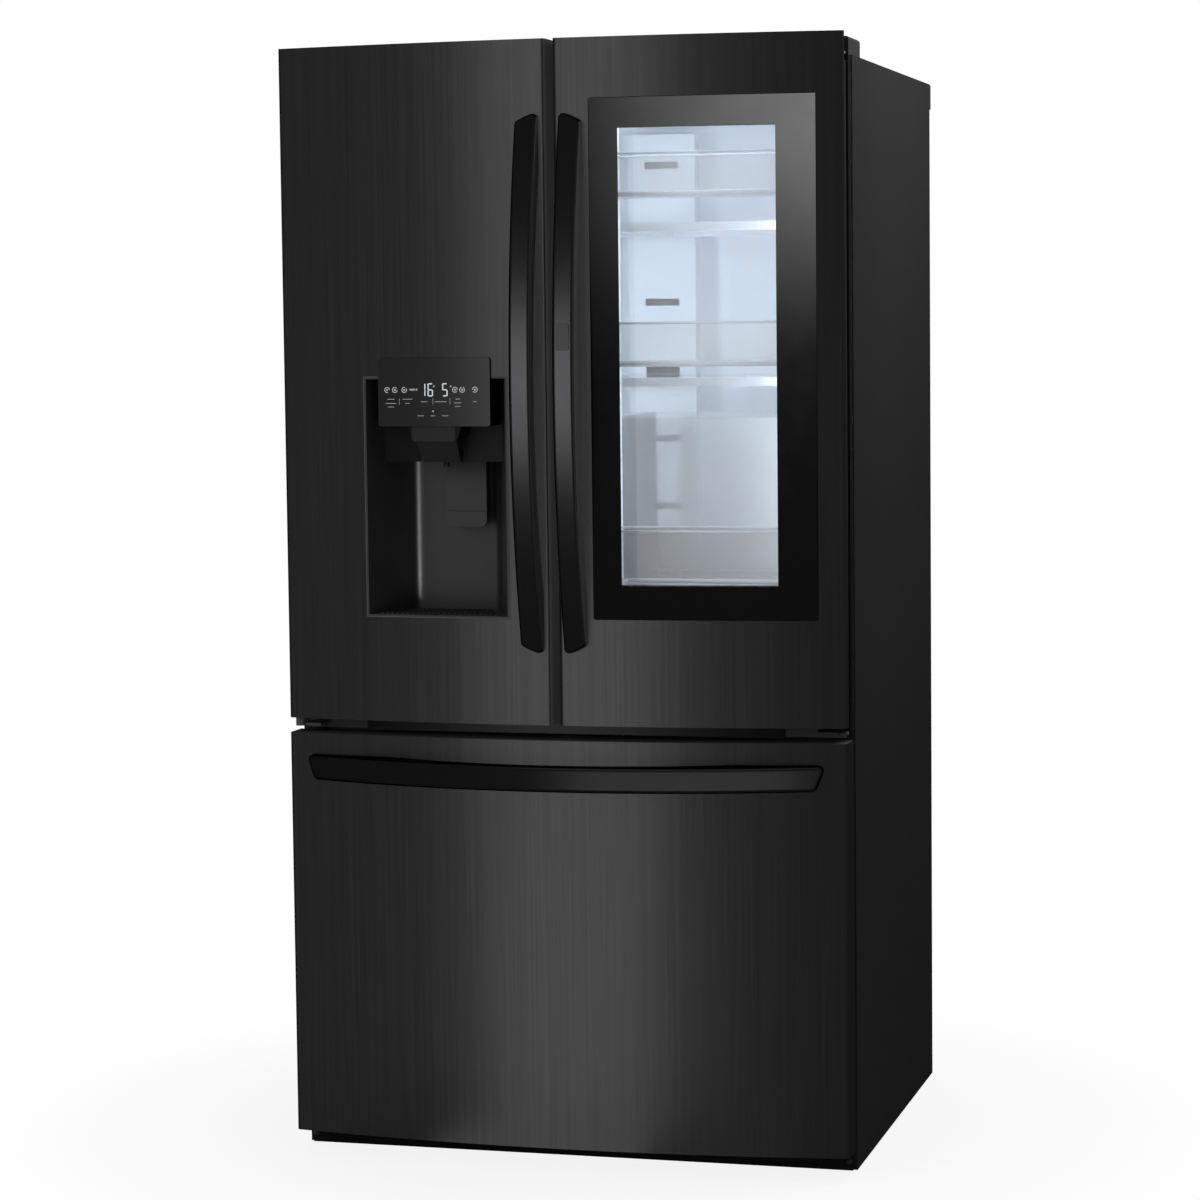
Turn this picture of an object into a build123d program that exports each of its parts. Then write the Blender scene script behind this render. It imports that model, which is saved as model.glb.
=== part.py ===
from build123d import *
from math import atan, cos, pi, radians, sin, sqrt, tan
import os

# All sizes are in millimetres. +X is the viewer's right, -Y the front, +Z up, and the floor is at Z = 0.
# The origin is the middle of the overall box, on the floor.

# Case
case_width = 908.0
case_depth = 710.0
case_height = 1740.0
floor_gap = 6.0
case_sheet = 1.2
side_wall = 45.0
top_wall = 50.0
back_wall = 65.0
liner_wall = 2.0
spacer_depth = 24.0
spacer_height = 42.0
spacer_inset = 2.0
spacer_wall = 2.5

# Compartments
fridge_floor = 742.0
freezer_ceiling = 655.0
freezer_floor = 115.0
machine_depth = 250.0
machine_height = 255.0
rail_sheet = 1.5
rail_depth = 32.0
rib_reach = 14.0
rib_height = 10.0

# Bowed front, doors and drawer
front_bow = 36.0
door_depth = 103.0
door_rise = 32.0
door_bottom = 711.0
drawer_top = 687.0
drawer_bottom = 40.0
door_gap = 12.0
door_sheet = 1.0
edge_round = 7.0
cap_height = 14.0
gasket_depth = 15.0
gasket_width = 20.0
gasket_inset = 16.0
gasket_lap = 14.0
gasket_centre_inset = 28.0

# Hinges
hinge_inset = 14.0
hinge_setback = 50.0
frame_hinge_setback = 78.0
pin_radius = 5.0
pin_clearance = 0.05
pin_reach = 16.0
boss_radius = 8.0
hinge_plate = 4.0
hinge_arm = 34.0
hinge_tail = 90.0
notch_front = 10.0
notch_width = 45.0
notch_floor_drop = 12.0
hinge_block = 24.0
centre_hinge_drop = 10.0
centre_base_width = 62.0
centre_base_height = 20.0
lug_height = 6.0
lug_gap = 2.0
seat_gap = 0.3
cover_wall = 2.0
cover_width = 96.0
cover_depth = 96.0
cover_height = 29.5
cover_round = 5.0
cover_side_inset = 6.0

# Bar handles
handle_standoff = 63.0
handle_bar = 20.0
handle_end = 10.0
handle_foot = 90.0
handle_round = 6.0
handle_slant = 15.0
handle_bulge = 2.0
handle_corner = 8.0
door_handle_width = 35.5
door_handle_bottom_inset = 111.6
door_handle_top_inset = 112.6
door_handle_inset = 11.0
drawer_handle_width = 40.0
drawer_handle_top_inset = 33.0
drawer_handle_side_inset = 34.0
drawer_handle_foot = 110.0
handle_seat = 0.2
button_width = 20.0
button_height = 40.0
button_rise = 74.0
button_depth = 6.0
button_proud = 0.8
button_travel = 3.0
button_clearance = 0.4

# Ice and water dispenser
niche_offset = 37.0
niche_width = 238.0
niche_rise = 167.0
niche_height = 376.0
niche_depth = 125.0
niche_back_width = 138.0
niche_corner = 18.0
niche_wall = 2.5
panel_width = 187.0
panel_rise = 30.0
panel_height = 106.5
panel_proud = 5.0
panel_plate = 14.0
panel_corner = 4.0
nozzle_recess = 55.0
nozzle_drop = 134.0
nozzle_fit = 0.3
tab_width = 89.0
tab_bottom_width = 75.0
tab_height = 24.0
tab_proud = 3.0
tab_corner = 8.0
chute_width = 72.0
chute_bottom_width = 60.0
chute_setback = 12.0
chute_lean = 30.0
spout_radius = 5.0
spout_length = 8.0
paddle_offset = 22.0
paddle_width = 66.0
paddle_height = 116.0
paddle_plate = 7.0
paddle_corner = 10.0
paddle_setback = 101.0
paddle_pin_radius = 4.0
paddle_pin_reach = 6.0
paddle_pocket = 22.0
paddle_side_gap = 1.5
paddle_crease_height = 24.0
paddle_crease_depth = 1.5

# Window in the right door
glass_centre_inset = 57.0
glass_side_inset = 43.0
glass_top_inset = 93.0
glass_plate = 5.0
glass_corner = 3.0
glass_reveal = 0.8
border_left = 42.0
border_right = 60.0
border_bottom = 53.0
border_top = 46.0
frame_lap = 4.0
border_lip = 6.0
border_flare = 12.0
inner_pane_plate = 4.0
inner_pane_lap = 20.0
inner_pane_setback = 50.0

# Inner frame of the right door
did_seal = 4.0
frame_centre_inset = 4.0
frame_edge_inset = 5.0
tunnel_wall = 4.0
tunnel_side_inset = 56.0
tunnel_centre_inset = 52.0
tunnel_end_inset = 10.0
tunnel_depth = 122.0
did_gasket_width = 14.0
did_gasket_lap = 6.0
bin_shares = (0.911, 0.628, 0.278)
bin_heights = (67.0, 68.0, 90.0)
bin_wall = 2.5
bin_setback = 12.0
bin_fit = 0.3

# Inside of the left door
dike_height = 52.0
dike_width = 22.0
dike_side_gap = 15.0
dispenser_bulge = 77.0
bulge_margin = 26.0
ice_room_depth = 117.0
left_bin_depth = 60.0
left_bin_height = 70.0
left_bin_rises = (33.0, 223.0)

# Folding flap behind the gap between the doors
flap_reach = 1.0
flap_pivot = -24.0
flap_leaf = 10.0
flap_knuckle = 6.0
flap_pin_radius = 3.0
flap_pin_reach = 9.0
flap_ear = 12.0
flap_ear_width = 16.0
flap_end_gap = 6.0

# Shelves and fridge drawers, set back from the crown of the front
shelf_setback = 290.0
shelf_plate = 14.0
shelf_border = 20.0
shelf_lip = 4.0
shelf_pane = 4.0
shelf_side_gap = 5.0
shelf_middle_gap = 12.0
shelf_rear_gap = 46.0
shelf_arm = 12.0
upper_shelf_drop = 208.0
crisper_shelf_rise = 490.0
pantry_shelf_rise = 149.0
duct_width = 120.0
duct_depth = 34.0
duct_rise = 208.0
duct_drop = 30.0
duct_wall = 2.0
duct_slots = 6
duct_slot_height = 12.0
lamp_width = 300.0
lamp_depth = 120.0
lamp_height = 12.0
drawer_wall = 2.5
drawer_side_gap = 9.0
drawer_lip = 12.0
crisper_setback = 320.0
crisper_top_gap = 51.7
crisper_gap = 12.0
pantry_setback = 310.0
pantry_top_gap = 0.7
pantry_runner = 6.0

# Freezer drawer, its basket, rails and gear bar, set back from the crown of the front
plug_depth = 32.0
plug_side_gap = 22.0
plug_bottom_gap = 12.0
plug_top_gap = 16.0
rail_bar = 12.0
rail_rise = 195.3
rail_height = 70.0
rail_side_gap = 23.0
rail_rear = 556.0
rail_ledge = 5.0
rail_back_plate = 4.0
rack_front = 122.0
rack_rear = 576.0
gear_module = 4.0
gear_teeth = 12
gear_pressure = 25.0
gear_addendum = 0.8
gear_dedendum = 1.0
gear_backlash = 0.5
gear_width = 12.0
gear_side_gap = 2.0
gear_setback = 545.0
gear_rise = 54.7
shaft_radius = 6.0
basket_front = 132.0
basket_rear_gap = 18.0
basket_rise = 25.0
basket_height = 262.0
basket_side_gap = 10.0
basket_flange = 4.0
basket_wall = 3.0
tray_setback = 190.0
tray_rise = 325.0
tray_height = 170.0
tray_side_gap = 21.0
tray_ledge = 26.0
evaporator_space = 46.0
evaporator_width = 520.0
evaporator_fins = 16
cover_plate = 3.0
cover_slots = 5

# Base and machine room
base_height = 60.0
base_bottom = 8.0
base_rail = 52.0
base_sheet = 2.0
tray_floor = 24.0
toe_setback = 97.0
toe_sheet = 2.5
toe_inset = 6.0
toe_top_gap = 4.0
leg_setback = 150.0
leg_radius = 6.0
leg_foot_radius = 18.0
leg_foot_height = 7.0
leg_boss_radius = 12.0
leg_boss_height = 16.0
roller_radius = 22.0
roller_width = 36.0
roller_axle = 4.0
roller_inset = 60.0
louvre_rows = 8
louvre_width = 170.0
louvre_height = 7.0
louvre_gap = 100.0
gland_inset = 53.0
gland_height = 90.0
gland_radius = 10.0
gland_bore = 4.5
gland_length = 8.0
compressor_radius = 80.0
compressor_height = 176.0
compressor_round = 34.0
compressor_inset = 188.0
compressor_foot = 8.0
condenser_inset = 123.0
condenser_width = 270.0
condenser_height = 140.0
condenser_depth = 130.0
condenser_fins = 12
condenser_base = 8.0
fan_x = 60.0
fan_height = 120.0
fan_radius = 70.0
fan_hub_radius = 16.0
fan_hub_length = 24.0
fan_blades = 5
fan_blade_sheet = 2.0
fan_blade_width = 34.0
fan_blade_angle = 35.0
motor_radius = 27.0
motor_length = 44.0
motor_gap = 8.0
motor_shaft = 3.0
motor_foot = 30.0
valve_inset = 83.0
valve_height = 150.0
valve_width = 50.0
valve_depth = 40.0
valve_stub_radius = 3.175
valve_stub_length = 18.0
valve_hole_gap = 6.0

# Length by which a cutting tool passes the face that it cuts through
over = 1.0

# Planes derived from the sizes above
half_width = case_width / 2
inner_half = half_width - case_sheet
liner_half = half_width - side_wall
room_half = liner_half - liner_wall
overall_depth = handle_standoff + door_depth + case_depth + spacer_depth
front_y = handle_standoff - overall_depth / 2
case_front = front_y + door_depth
case_back = case_front + case_depth
back_sheet_front = case_back - case_sheet
door_back = case_front - gasket_depth
liner_back = case_back - back_wall
room_back = liner_back - liner_wall
fridge_ceiling = case_height - top_wall
door_top = case_height + door_rise
machine_front = case_back - machine_depth
step_back = machine_front - side_wall
step_height = machine_height + side_wall
bow_radius = (half_width ** 2 + front_bow ** 2) / (2 * front_bow)
pin_x = half_width - hinge_inset
pin_y = front_y + hinge_setback
frame_pin_y = front_y + frame_hinge_setback
frame_corner_top = case_height - lug_gap
outer_back = pin_y + hinge_inset
frame_front = outer_back + did_seal
notch_floor = case_height - notch_floor_drop
centre_plate_top = door_bottom - centre_hinge_drop
lug_bottom = centre_plate_top + lug_gap
door_centre_edge = door_gap / 2
niche_centre = niche_offset - (half_width + door_centre_edge) / 2
niche_left = niche_centre - niche_width / 2
niche_right = niche_centre + niche_width / 2
niche_bottom = door_bottom + niche_rise
niche_top = niche_bottom + niche_height
nozzle_bottom = niche_top - nozzle_drop
paddle_centre = niche_centre + paddle_offset
panel_left = niche_centre - panel_width / 2
panel_right = niche_centre + panel_width / 2
panel_top = niche_top + panel_rise
panel_bottom = panel_top - panel_height
glass_left = door_centre_edge + glass_centre_inset
glass_right = half_width - glass_side_inset
glass_bottom = niche_bottom
glass_top = door_top - glass_top_inset
door_handle_bottom = door_bottom + door_handle_bottom_inset
door_handle_length = door_top - door_handle_top_inset - door_handle_bottom
button_centre = door_handle_bottom + door_handle_length / 2 + button_rise
drawer_handle_bottom = drawer_top - drawer_handle_top_inset - drawer_handle_width
drawer_handle_length = case_width - 2 * drawer_handle_side_inset
upper_shelf = fridge_ceiling - upper_shelf_drop
crisper_shelf = fridge_floor + crisper_shelf_rise
pantry_shelf = fridge_floor + pantry_shelf_rise
duct_bottom = fridge_floor + duct_rise
duct_top = fridge_ceiling - duct_drop
rail_bottom = freezer_floor + rail_rise
gear_height = rail_bottom + gear_rise
basket_bottom = freezer_floor + basket_rise
tray_bottom = freezer_floor + tray_rise
compressor_x = inner_half - compressor_inset
condenser_left = condenser_inset - inner_half
valve_x = valve_inset - inner_half
gland_x = inner_half - gland_inset


def block(x0, x1, y0, y1, z0, z1):
    """Box between two corners."""
    return Pos((x0 + x1) / 2, (y0 + y1) / 2, (z0 + z1) / 2) * Box(x1 - x0, y1 - y0, z1 - z0)


def slab(x0, x1, z0, z1, y0, y1, corner):
    """Rounded rectangle in the XZ plane, run back from y0 to y1."""
    face = Plane.XZ * RectangleRounded(x1 - x0, z1 - z0, corner)
    return Pos((x0 + x1) / 2, y0, (z0 + z1) / 2) * extrude(face, amount=y1 - y0, dir=(0, 1, 0))


def ring(x0, x1, z0, z1, y0, y1, width):
    """Rectangular frame in the XZ plane, run back from y0 to y1."""
    outer = block(x0, x1, y0, y1, z0, z1)
    return outer - block(x0 + width, x1 - width, y0 - over, y1 + over, z0 + width, z1 - width)


def prism_x(points, x0, x1):
    """Outline of (y, z) points run from x0 to x1."""
    face = make_face(Polyline(*[(x0, y, z) for y, z in points], close=True))
    return extrude(face, amount=x1 - x0, dir=(1, 0, 0))


def prism_y(points, y0, y1):
    """Outline of (x, z) points run from y0 to y1."""
    face = make_face(Polyline(*[(x, y0, z) for x, z in points], close=True))
    return extrude(face, amount=y1 - y0, dir=(0, 1, 0))


def rod_x(x0, x1, y, z, radius):
    """Round bar along X."""
    return Pos((x0 + x1) / 2, y, z) * Rot(0, 90, 0) * Cylinder(radius, x1 - x0)


def rod_y(y0, y1, x, z, radius):
    """Round bar along Y."""
    return Pos(x, (y0 + y1) / 2, z) * Rot(90, 0, 0) * Cylinder(radius, y1 - y0)


def rod_z(z0, z1, x, y, radius):
    """Round bar along Z."""
    return Pos(x, y, (z0 + z1) / 2) * Cylinder(radius, z1 - z0)


def open_box(x0, x1, y0, y1, z0, z1, wall):
    """Box without a lid."""
    hollow = block(x0 + wall, x1 - wall, y0 + wall, y1 - wall, z0 + wall, z1 + over)
    return block(x0, x1, y0, y1, z0, z1) - hollow


def mirrored(shape):
    """Same piece on the other side of the middle plane."""
    return mirror(shape, about=Plane.YZ)


def bow_y(x, inset=0.0):
    """Y of the bowed front at x, or of a surface that lies inset behind it."""
    return front_y + bow_radius - sqrt((bow_radius - inset) ** 2 - x ** 2)


def bowed_plan(x0, x1, inset, back):
    """Plan outline with the bowed front, straight sides and a straight back."""
    left = (x0, bow_y(x0, inset))
    middle = ((x0 + x1) / 2, bow_y((x0 + x1) / 2, inset))
    right = (x1, bow_y(x1, inset))
    front = ThreePointArc(left, middle, right)
    rest = Polyline(right, (x1, back), (x0, back), left)
    return make_face([front] + list(rest.edges()))


def rounded_plan(x0, x1, inset, back):
    """Plan outline with the bowed front and rounded front corners."""
    plan = bowed_plan(x0, x1, inset, back)
    corners = plan.vertices().sort_by(Axis.Y)[:2]
    return fillet(corners, edge_round - inset)


def upright(plan, z0, z1):
    """Plan outline run up from z0 to z1."""
    return Pos(0, 0, z0) * extrude(plan, amount=z1 - z0)


def bowed_skin(x0, x1, z0, z1, back):
    """Folded front sheet with two side returns, open at the back."""
    outer = upright(rounded_plan(x0, x1, 0.0, back), z0, z1)
    inner_plan = rounded_plan(x0 + door_sheet, x1 - door_sheet, door_sheet, back + over)
    return outer - upright(inner_plan, z0 - over, z1 + over)


def behind_front(inset, z0, z1):
    """Everything behind the bowed front, or behind a surface that lies inset behind it."""
    reach = half_width + over
    return upright(bowed_plan(-reach, reach, inset, case_back), z0, z1)


def hinge_notch(side):
    """Space at the top hinge corner of a door, side -1 left and 1 right."""
    tool = block(pin_x - notch_width, half_width + over, pin_y - notch_front, case_front,
                 notch_floor, door_top + over)
    if side < 0:
        return mirrored(tool)
    return tool


def hinge_corner(side):
    """Block of the top cap that takes the hinge pin."""
    corner = block(pin_x - notch_width - cap_height, half_width, front_y, case_front,
                   notch_floor - hinge_block, door_top)
    if side < 0:
        return mirrored(corner)
    return corner


def cap_space(side):
    """Space of the top cap: a slab with a deeper hinge block."""
    lid = block(-half_width, half_width, front_y - over, case_front, door_top - cap_height, door_top)
    return lid + hinge_corner(side)


def door_caps(plan, side):
    """Top and bottom cap of a door with the bores for its hinge pins."""
    bore = pin_radius + pin_clearance
    top = upright(plan, notch_floor - hinge_block, door_top) & cap_space(side)
    top -= hinge_notch(side)
    top -= rod_z(notch_floor - pin_reach - over, notch_floor + over, side * pin_x, pin_y, bore)
    bottom = upright(plan, door_bottom, door_bottom + hinge_block)
    bottom -= rod_z(door_bottom - over, door_bottom + pin_reach + over, side * pin_x, pin_y, bore)
    return [top, bottom]


def door_fill(plan, side):
    """Foamed body of a door between its caps."""
    fill = upright(plan, door_bottom + hinge_block, door_top)
    return fill - cap_space(side)


# Case


def case_wrap():
    shell = block(-half_width, half_width, case_front, case_back, floor_gap, case_height)
    shell -= block(-inner_half, inner_half, case_front + case_sheet, case_back + over,
                   floor_gap - over, case_height - case_sheet)
    shell -= block(-liner_half, liner_half, case_front - over, case_front + case_sheet + over,
                   floor_gap - over, fridge_ceiling)
    return shell


def freezer_space(inset, front):
    """Freezer compartment with the step over the machine room."""
    outline = [
        (front, freezer_floor + inset),
        (step_back - inset, freezer_floor + inset),
        (step_back - inset, step_height + inset),
        (liner_back - inset, step_height + inset),
        (liner_back - inset, freezer_ceiling - inset),
        (front, freezer_ceiling - inset),
    ]
    return prism_x(outline, inset - liner_half, liner_half - inset)


def fridge_space(inset, front):
    """Fresh food compartment."""
    return block(inset - liner_half, liner_half - inset, front, liner_back - inset,
                 fridge_floor + inset, fridge_ceiling - inset)


def cross_rail(z0, z1):
    """Channel across the front of the case, open to the back."""
    rail = block(-liner_half, liner_half, case_front, case_front + rail_depth, z0, z1)
    hollow = block(-liner_half - over, liner_half + over, case_front + rail_sheet,
                   case_front + rail_depth + over, z0 + rail_sheet, z1 - rail_sheet)
    return rail - hollow


def cross_rails():
    return [cross_rail(freezer_ceiling, fridge_floor), cross_rail(base_height, freezer_floor)]


def insulation():
    foam = block(-inner_half, inner_half, case_front + case_sheet, back_sheet_front,
                 base_height, case_height - case_sheet)
    foam -= fridge_space(0.0, case_front)
    foam -= freezer_space(0.0, case_front)
    foam -= block(-half_width, half_width, machine_front, case_back + over,
                  base_height - over, machine_height)
    for rail in cross_rails():
        foam -= rail
    return foam


def fridge_liner():
    liner = fridge_space(0.0, case_front) - fridge_space(liner_wall, case_front - over)
    for level in (crisper_shelf, pantry_shelf):
        rib = block(room_half - rib_reach, room_half + liner_wall / 2, front_y + shelf_setback,
                    room_back - shelf_rear_gap, level - rib_height, level)
        liner += rib
        liner += mirrored(rib)
    runner_x = room_half - drawer_side_gap - rib_reach
    runner = block(runner_x, runner_x + rib_reach, front_y + pantry_setback, room_back - shelf_rear_gap,
                   fridge_floor + liner_wall / 2, fridge_floor + liner_wall + pantry_runner)
    liner += runner
    liner += mirrored(runner)
    return liner


def freezer_liner():
    liner = freezer_space(0.0, case_front) - freezer_space(liner_wall, case_front - over)
    ledge = block(room_half - tray_ledge, room_half + liner_wall / 2, front_y + tray_setback,
                  room_back - evaporator_space - cover_plate, tray_bottom - seat_gap - rib_height,
                  tray_bottom - seat_gap)
    liner += ledge
    liner += mirrored(ledge)
    return liner


def back_sheet():
    return block(-inner_half, inner_half, back_sheet_front, case_back, machine_height,
                 case_height - case_sheet)


def rear_spacer():
    reach = half_width - spacer_inset
    bar = block(-reach, reach, case_back, case_back + spacer_depth, case_height - spacer_height, case_height)
    hollow = block(spacer_wall - reach, reach - spacer_wall, case_back - over,
                   case_back + spacer_depth - spacer_wall, case_height - spacer_height + spacer_wall,
                   case_height - spacer_wall)
    return bar - hollow


# Hinges


def hinge_arm_plan(pin_line, rear):
    """Plan of a hinge arm: a boss round the pin and a strip that runs back from it."""
    strip = [(pin_x - hinge_arm, pin_line), (pin_x, pin_line), (pin_x, rear), (pin_x - hinge_arm, rear)]
    return make_face(Polyline(*strip, close=True)) + Pos(pin_x, pin_line) * Circle(boss_radius)


def top_hinge(pin_line, pin_bottom):
    """Top bracket on the case with its pin pointing down."""
    top = case_height + hinge_plate
    arm = upright(hinge_arm_plan(pin_line, case_front + hinge_tail), case_height, top)
    return arm + rod_z(pin_bottom, top, pin_x, pin_line, pin_radius)


def centre_hinge(pin_line, seat):
    """Bracket between the doors and the drawer with its pin pointing up; seat is what the pin carries."""
    arm = upright(hinge_arm_plan(pin_line, case_front), centre_plate_top - hinge_plate, centre_plate_top)
    base_mid = centre_plate_top - hinge_plate / 2
    base = block(pin_x - hinge_arm - centre_base_width, pin_x, case_front - hinge_plate, case_front,
                 base_mid - centre_base_height / 2, base_mid + centre_base_height / 2)
    collar = rod_z(centre_plate_top, seat - seat_gap, pin_x, pin_line, boss_radius)
    pin = rod_z(centre_plate_top, seat + pin_reach, pin_x, pin_line, pin_radius)
    return arm + base + collar + pin


def door_hinges():
    """Two brackets for the inner frame on the right and two for the left door."""
    right = [top_hinge(frame_pin_y, frame_corner_top - pin_reach), centre_hinge(frame_pin_y, lug_bottom)]
    left = [top_hinge(pin_y, notch_floor - pin_reach), centre_hinge(pin_y, door_bottom)]
    return right + [mirrored(bracket) for bracket in left]


def hinge_cover():
    right = half_width - cover_side_inset
    left = right - cover_width
    back = case_front + cover_depth
    top = case_height + cover_height
    cover = block(left, right, case_front, back, case_height, top)
    cover = fillet(cover.faces().sort_by(Axis.Z)[-1].edges(), cover_round)
    cover -= block(left + cover_wall, right - cover_wall, case_front + cover_wall, back - cover_wall,
                   case_height - over, top - cover_wall)
    cover -= block(pin_x - hinge_arm - seat_gap, pin_x + seat_gap, case_front - over,
                   case_front + cover_wall + over, case_height - over, case_height + hinge_plate + seat_gap)
    return cover


def hinge_covers():
    return [hinge_cover(), mirrored(hinge_cover())]


# Handles


def end_trim(first, last, out):
    """Tool that trims a bar to a slightly rounded slant between two (x, z) points; out points off the bar."""
    before = front_y - handle_standoff - over
    reach = 2 * handle_slant
    middle = ((first[0] + last[0]) / 2 + handle_bulge * out[0],
              (first[1] + last[1]) / 2 + handle_bulge * out[1])
    far_first = (first[0] + reach * out[0], first[1] + reach * out[1])
    far_last = (last[0] + reach * out[0], last[1] + reach * out[1])
    slant = ThreePointArc(*[(x, before, z) for x, z in (first, middle, last)])
    rest = Polyline(*[(x, before, z) for x, z in (last, far_last, far_first, first)])
    face = make_face([slant] + list(rest.edges()))
    return extrude(face, amount=case_front - before, dir=(0, 1, 0))


def rounded_bar(bar):
    """Rounds the corners of a trimmed bar and then all edges of its arched front."""
    bar = fillet(bar.edges().filter_by(Axis.Y), handle_corner)
    front_face = bar.faces().filter_by(GeomType.CYLINDER).sort_by(Axis.Y)[0]
    return fillet(front_face.edges(), handle_round)


def door_handle(x0, outer_side):
    """Arched bar with slanted ends; outer_side is -1 where the short edge is on the left."""
    bottom = door_handle_bottom
    top = bottom + door_handle_length
    middle = (bottom + top) / 2
    low = bottom - over
    high = top + over
    tip = front_y - handle_end
    front = ThreePointArc((x0, tip, low), (x0, front_y - handle_standoff, middle), (x0, tip, high))
    upper = Polyline((x0, tip, high), (x0, front_y, high), (x0, front_y, top - handle_foot))
    rear = ThreePointArc((x0, front_y, top - handle_foot),
                         (x0, front_y - handle_standoff + handle_bar, middle),
                         (x0, front_y, bottom + handle_foot))
    lower = Polyline((x0, front_y, bottom + handle_foot), (x0, front_y, low), (x0, tip, low))
    outline = make_face([front, rear] + list(upper.edges()) + list(lower.edges()))
    bar = extrude(outline, amount=door_handle_width, dir=(1, 0, 0))
    rise = handle_slant / door_handle_width * over
    short = x0 + door_handle_width / 2 + outer_side * (door_handle_width / 2 + over)
    long = x0 + door_handle_width / 2 - outer_side * (door_handle_width / 2 + over)
    drop = handle_slant + rise
    bar -= end_trim((short, top - drop), (long, top + rise), (0, 1))
    bar -= end_trim((short, bottom + drop), (long, bottom - rise), (0, -1))
    return rounded_bar(bar)


def handle_front_y(z):
    """Y of a door handle's front face at height z."""
    half = door_handle_length / 2
    rise = handle_standoff - handle_end
    radius = ((half + over) ** 2 + rise ** 2) / (2 * rise)
    offset = z - (door_handle_bottom + half)
    return front_y - handle_standoff + radius - sqrt(radius ** 2 - offset ** 2)


left_handle_x = -door_centre_edge - door_handle_inset - door_handle_width
right_handle_x = door_centre_edge + door_handle_inset
button_x = right_handle_x + door_handle_width / 2
button_front = handle_front_y(button_centre)


def button_slab(grow, front, back):
    """Outline of the push button, grown by a clearance."""
    return slab(button_x - button_width / 2 - grow, button_x + button_width / 2 + grow,
                button_centre - button_height / 2 - grow, button_centre + button_height / 2 + grow,
                front, back, panel_corner)


def right_door_handle():
    pocket_back = button_front + button_depth + button_travel + button_clearance
    pocket = button_slab(button_clearance, front_y - handle_standoff - over, pocket_back)
    return door_handle(right_handle_x, 1) - pocket


def handle_button():
    return button_slab(0.0, button_front - button_proud, button_front + button_depth)


def drawer_handle():
    end = drawer_handle_length / 2
    half = end + over
    inner = end - drawer_handle_foot
    tip = bow_y(half) - handle_end
    sunk = bow_y(half) + handle_end
    inner_sunk = bow_y(inner) + handle_end
    front = ThreePointArc((-half, tip), (0, front_y - handle_standoff), (half, tip))
    right = Polyline((half, tip), (half, sunk), (inner, inner_sunk))
    rear = ThreePointArc((inner, inner_sunk), (0, front_y - handle_standoff + handle_bar),
                         (-inner, inner_sunk))
    left = Polyline((-inner, inner_sunk), (-half, sunk), (-half, tip))
    outline = make_face([front, rear] + list(right.edges()) + list(left.edges()))
    bottom = drawer_handle_bottom
    top = bottom + drawer_handle_width
    bar = upright(outline, bottom, top)
    rise = handle_slant / drawer_handle_width * over
    for side in (-1, 1):
        upper = (side * (end + rise), top + over)
        lower = (side * (end - handle_slant - rise), bottom - over)
        bar -= end_trim(upper, lower, (side, 0))
    return rounded_bar(bar) - behind_front(-handle_seat, bottom - over, top + over)


# Left door

left_x0 = -half_width
left_x1 = -door_centre_edge
left_plan = rounded_plan(left_x0 + door_sheet, left_x1 - door_sheet, door_sheet, door_back)


def niche_wall_x(side, y, grow):
    """X of a niche wall at y, grown outward; side is -1 left and 1 right."""
    edge = niche_centre + side * niche_width / 2
    rear = niche_centre + side * niche_back_width / 2
    rear_y = front_y + niche_depth
    slope = (edge - side * niche_wall - rear) / (rear_y - bow_y(edge))
    return rear + slope * (rear_y - y) + side * grow


def niche_plan(grow):
    """Plan of the niche: wide at the door's front, narrower at the back, with rounded rear corners."""
    front = front_y - panel_proud
    back = front_y + niche_depth + grow
    outline = Polyline((niche_wall_x(-1, front, grow), front), (niche_wall_x(1, front, grow), front),
                       (niche_wall_x(1, back, grow), back), (niche_wall_x(-1, back, grow), back), close=True)
    plan = make_face(outline)
    return fillet(plan.vertices().sort_by(Axis.Y)[-2:], niche_corner + grow)


def niche_block(grow):
    """Space of the niche, grown outward by a wall."""
    return upright(niche_plan(grow), niche_bottom + niche_wall - grow, niche_top - niche_wall + grow)


def panel_block():
    """Control panel: a bowed plate with a block behind it that sits on the nozzle housing."""
    plate = slab(panel_left, panel_right, panel_bottom, panel_top, front_y - 2 * panel_proud,
                 front_y + nozzle_recess, panel_corner)
    front = plate & behind_front(-panel_proud, panel_bottom, panel_top)
    thin = front - behind_front(panel_plate - panel_proud, panel_bottom, panel_top)
    rear = front & niche_block(0.0)
    return thin + rear


def left_door_skin():
    skin = bowed_skin(left_x0, left_x1, door_bottom, door_top, door_back)
    skin -= hinge_notch(-1)
    before = front_y - 2 * panel_proud
    skin -= block(niche_left, niche_right, before, front_y + niche_depth, niche_bottom, niche_top)
    skin -= slab(panel_left, panel_right, panel_bottom, panel_top, before, front_y + niche_depth,
                 panel_corner)
    return skin


dike_left = dike_side_gap - room_half
dike_right = -door_centre_edge - tunnel_centre_inset
dike_bottom = fridge_floor + tunnel_end_inset
dike_top = fridge_ceiling - tunnel_end_inset


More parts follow.
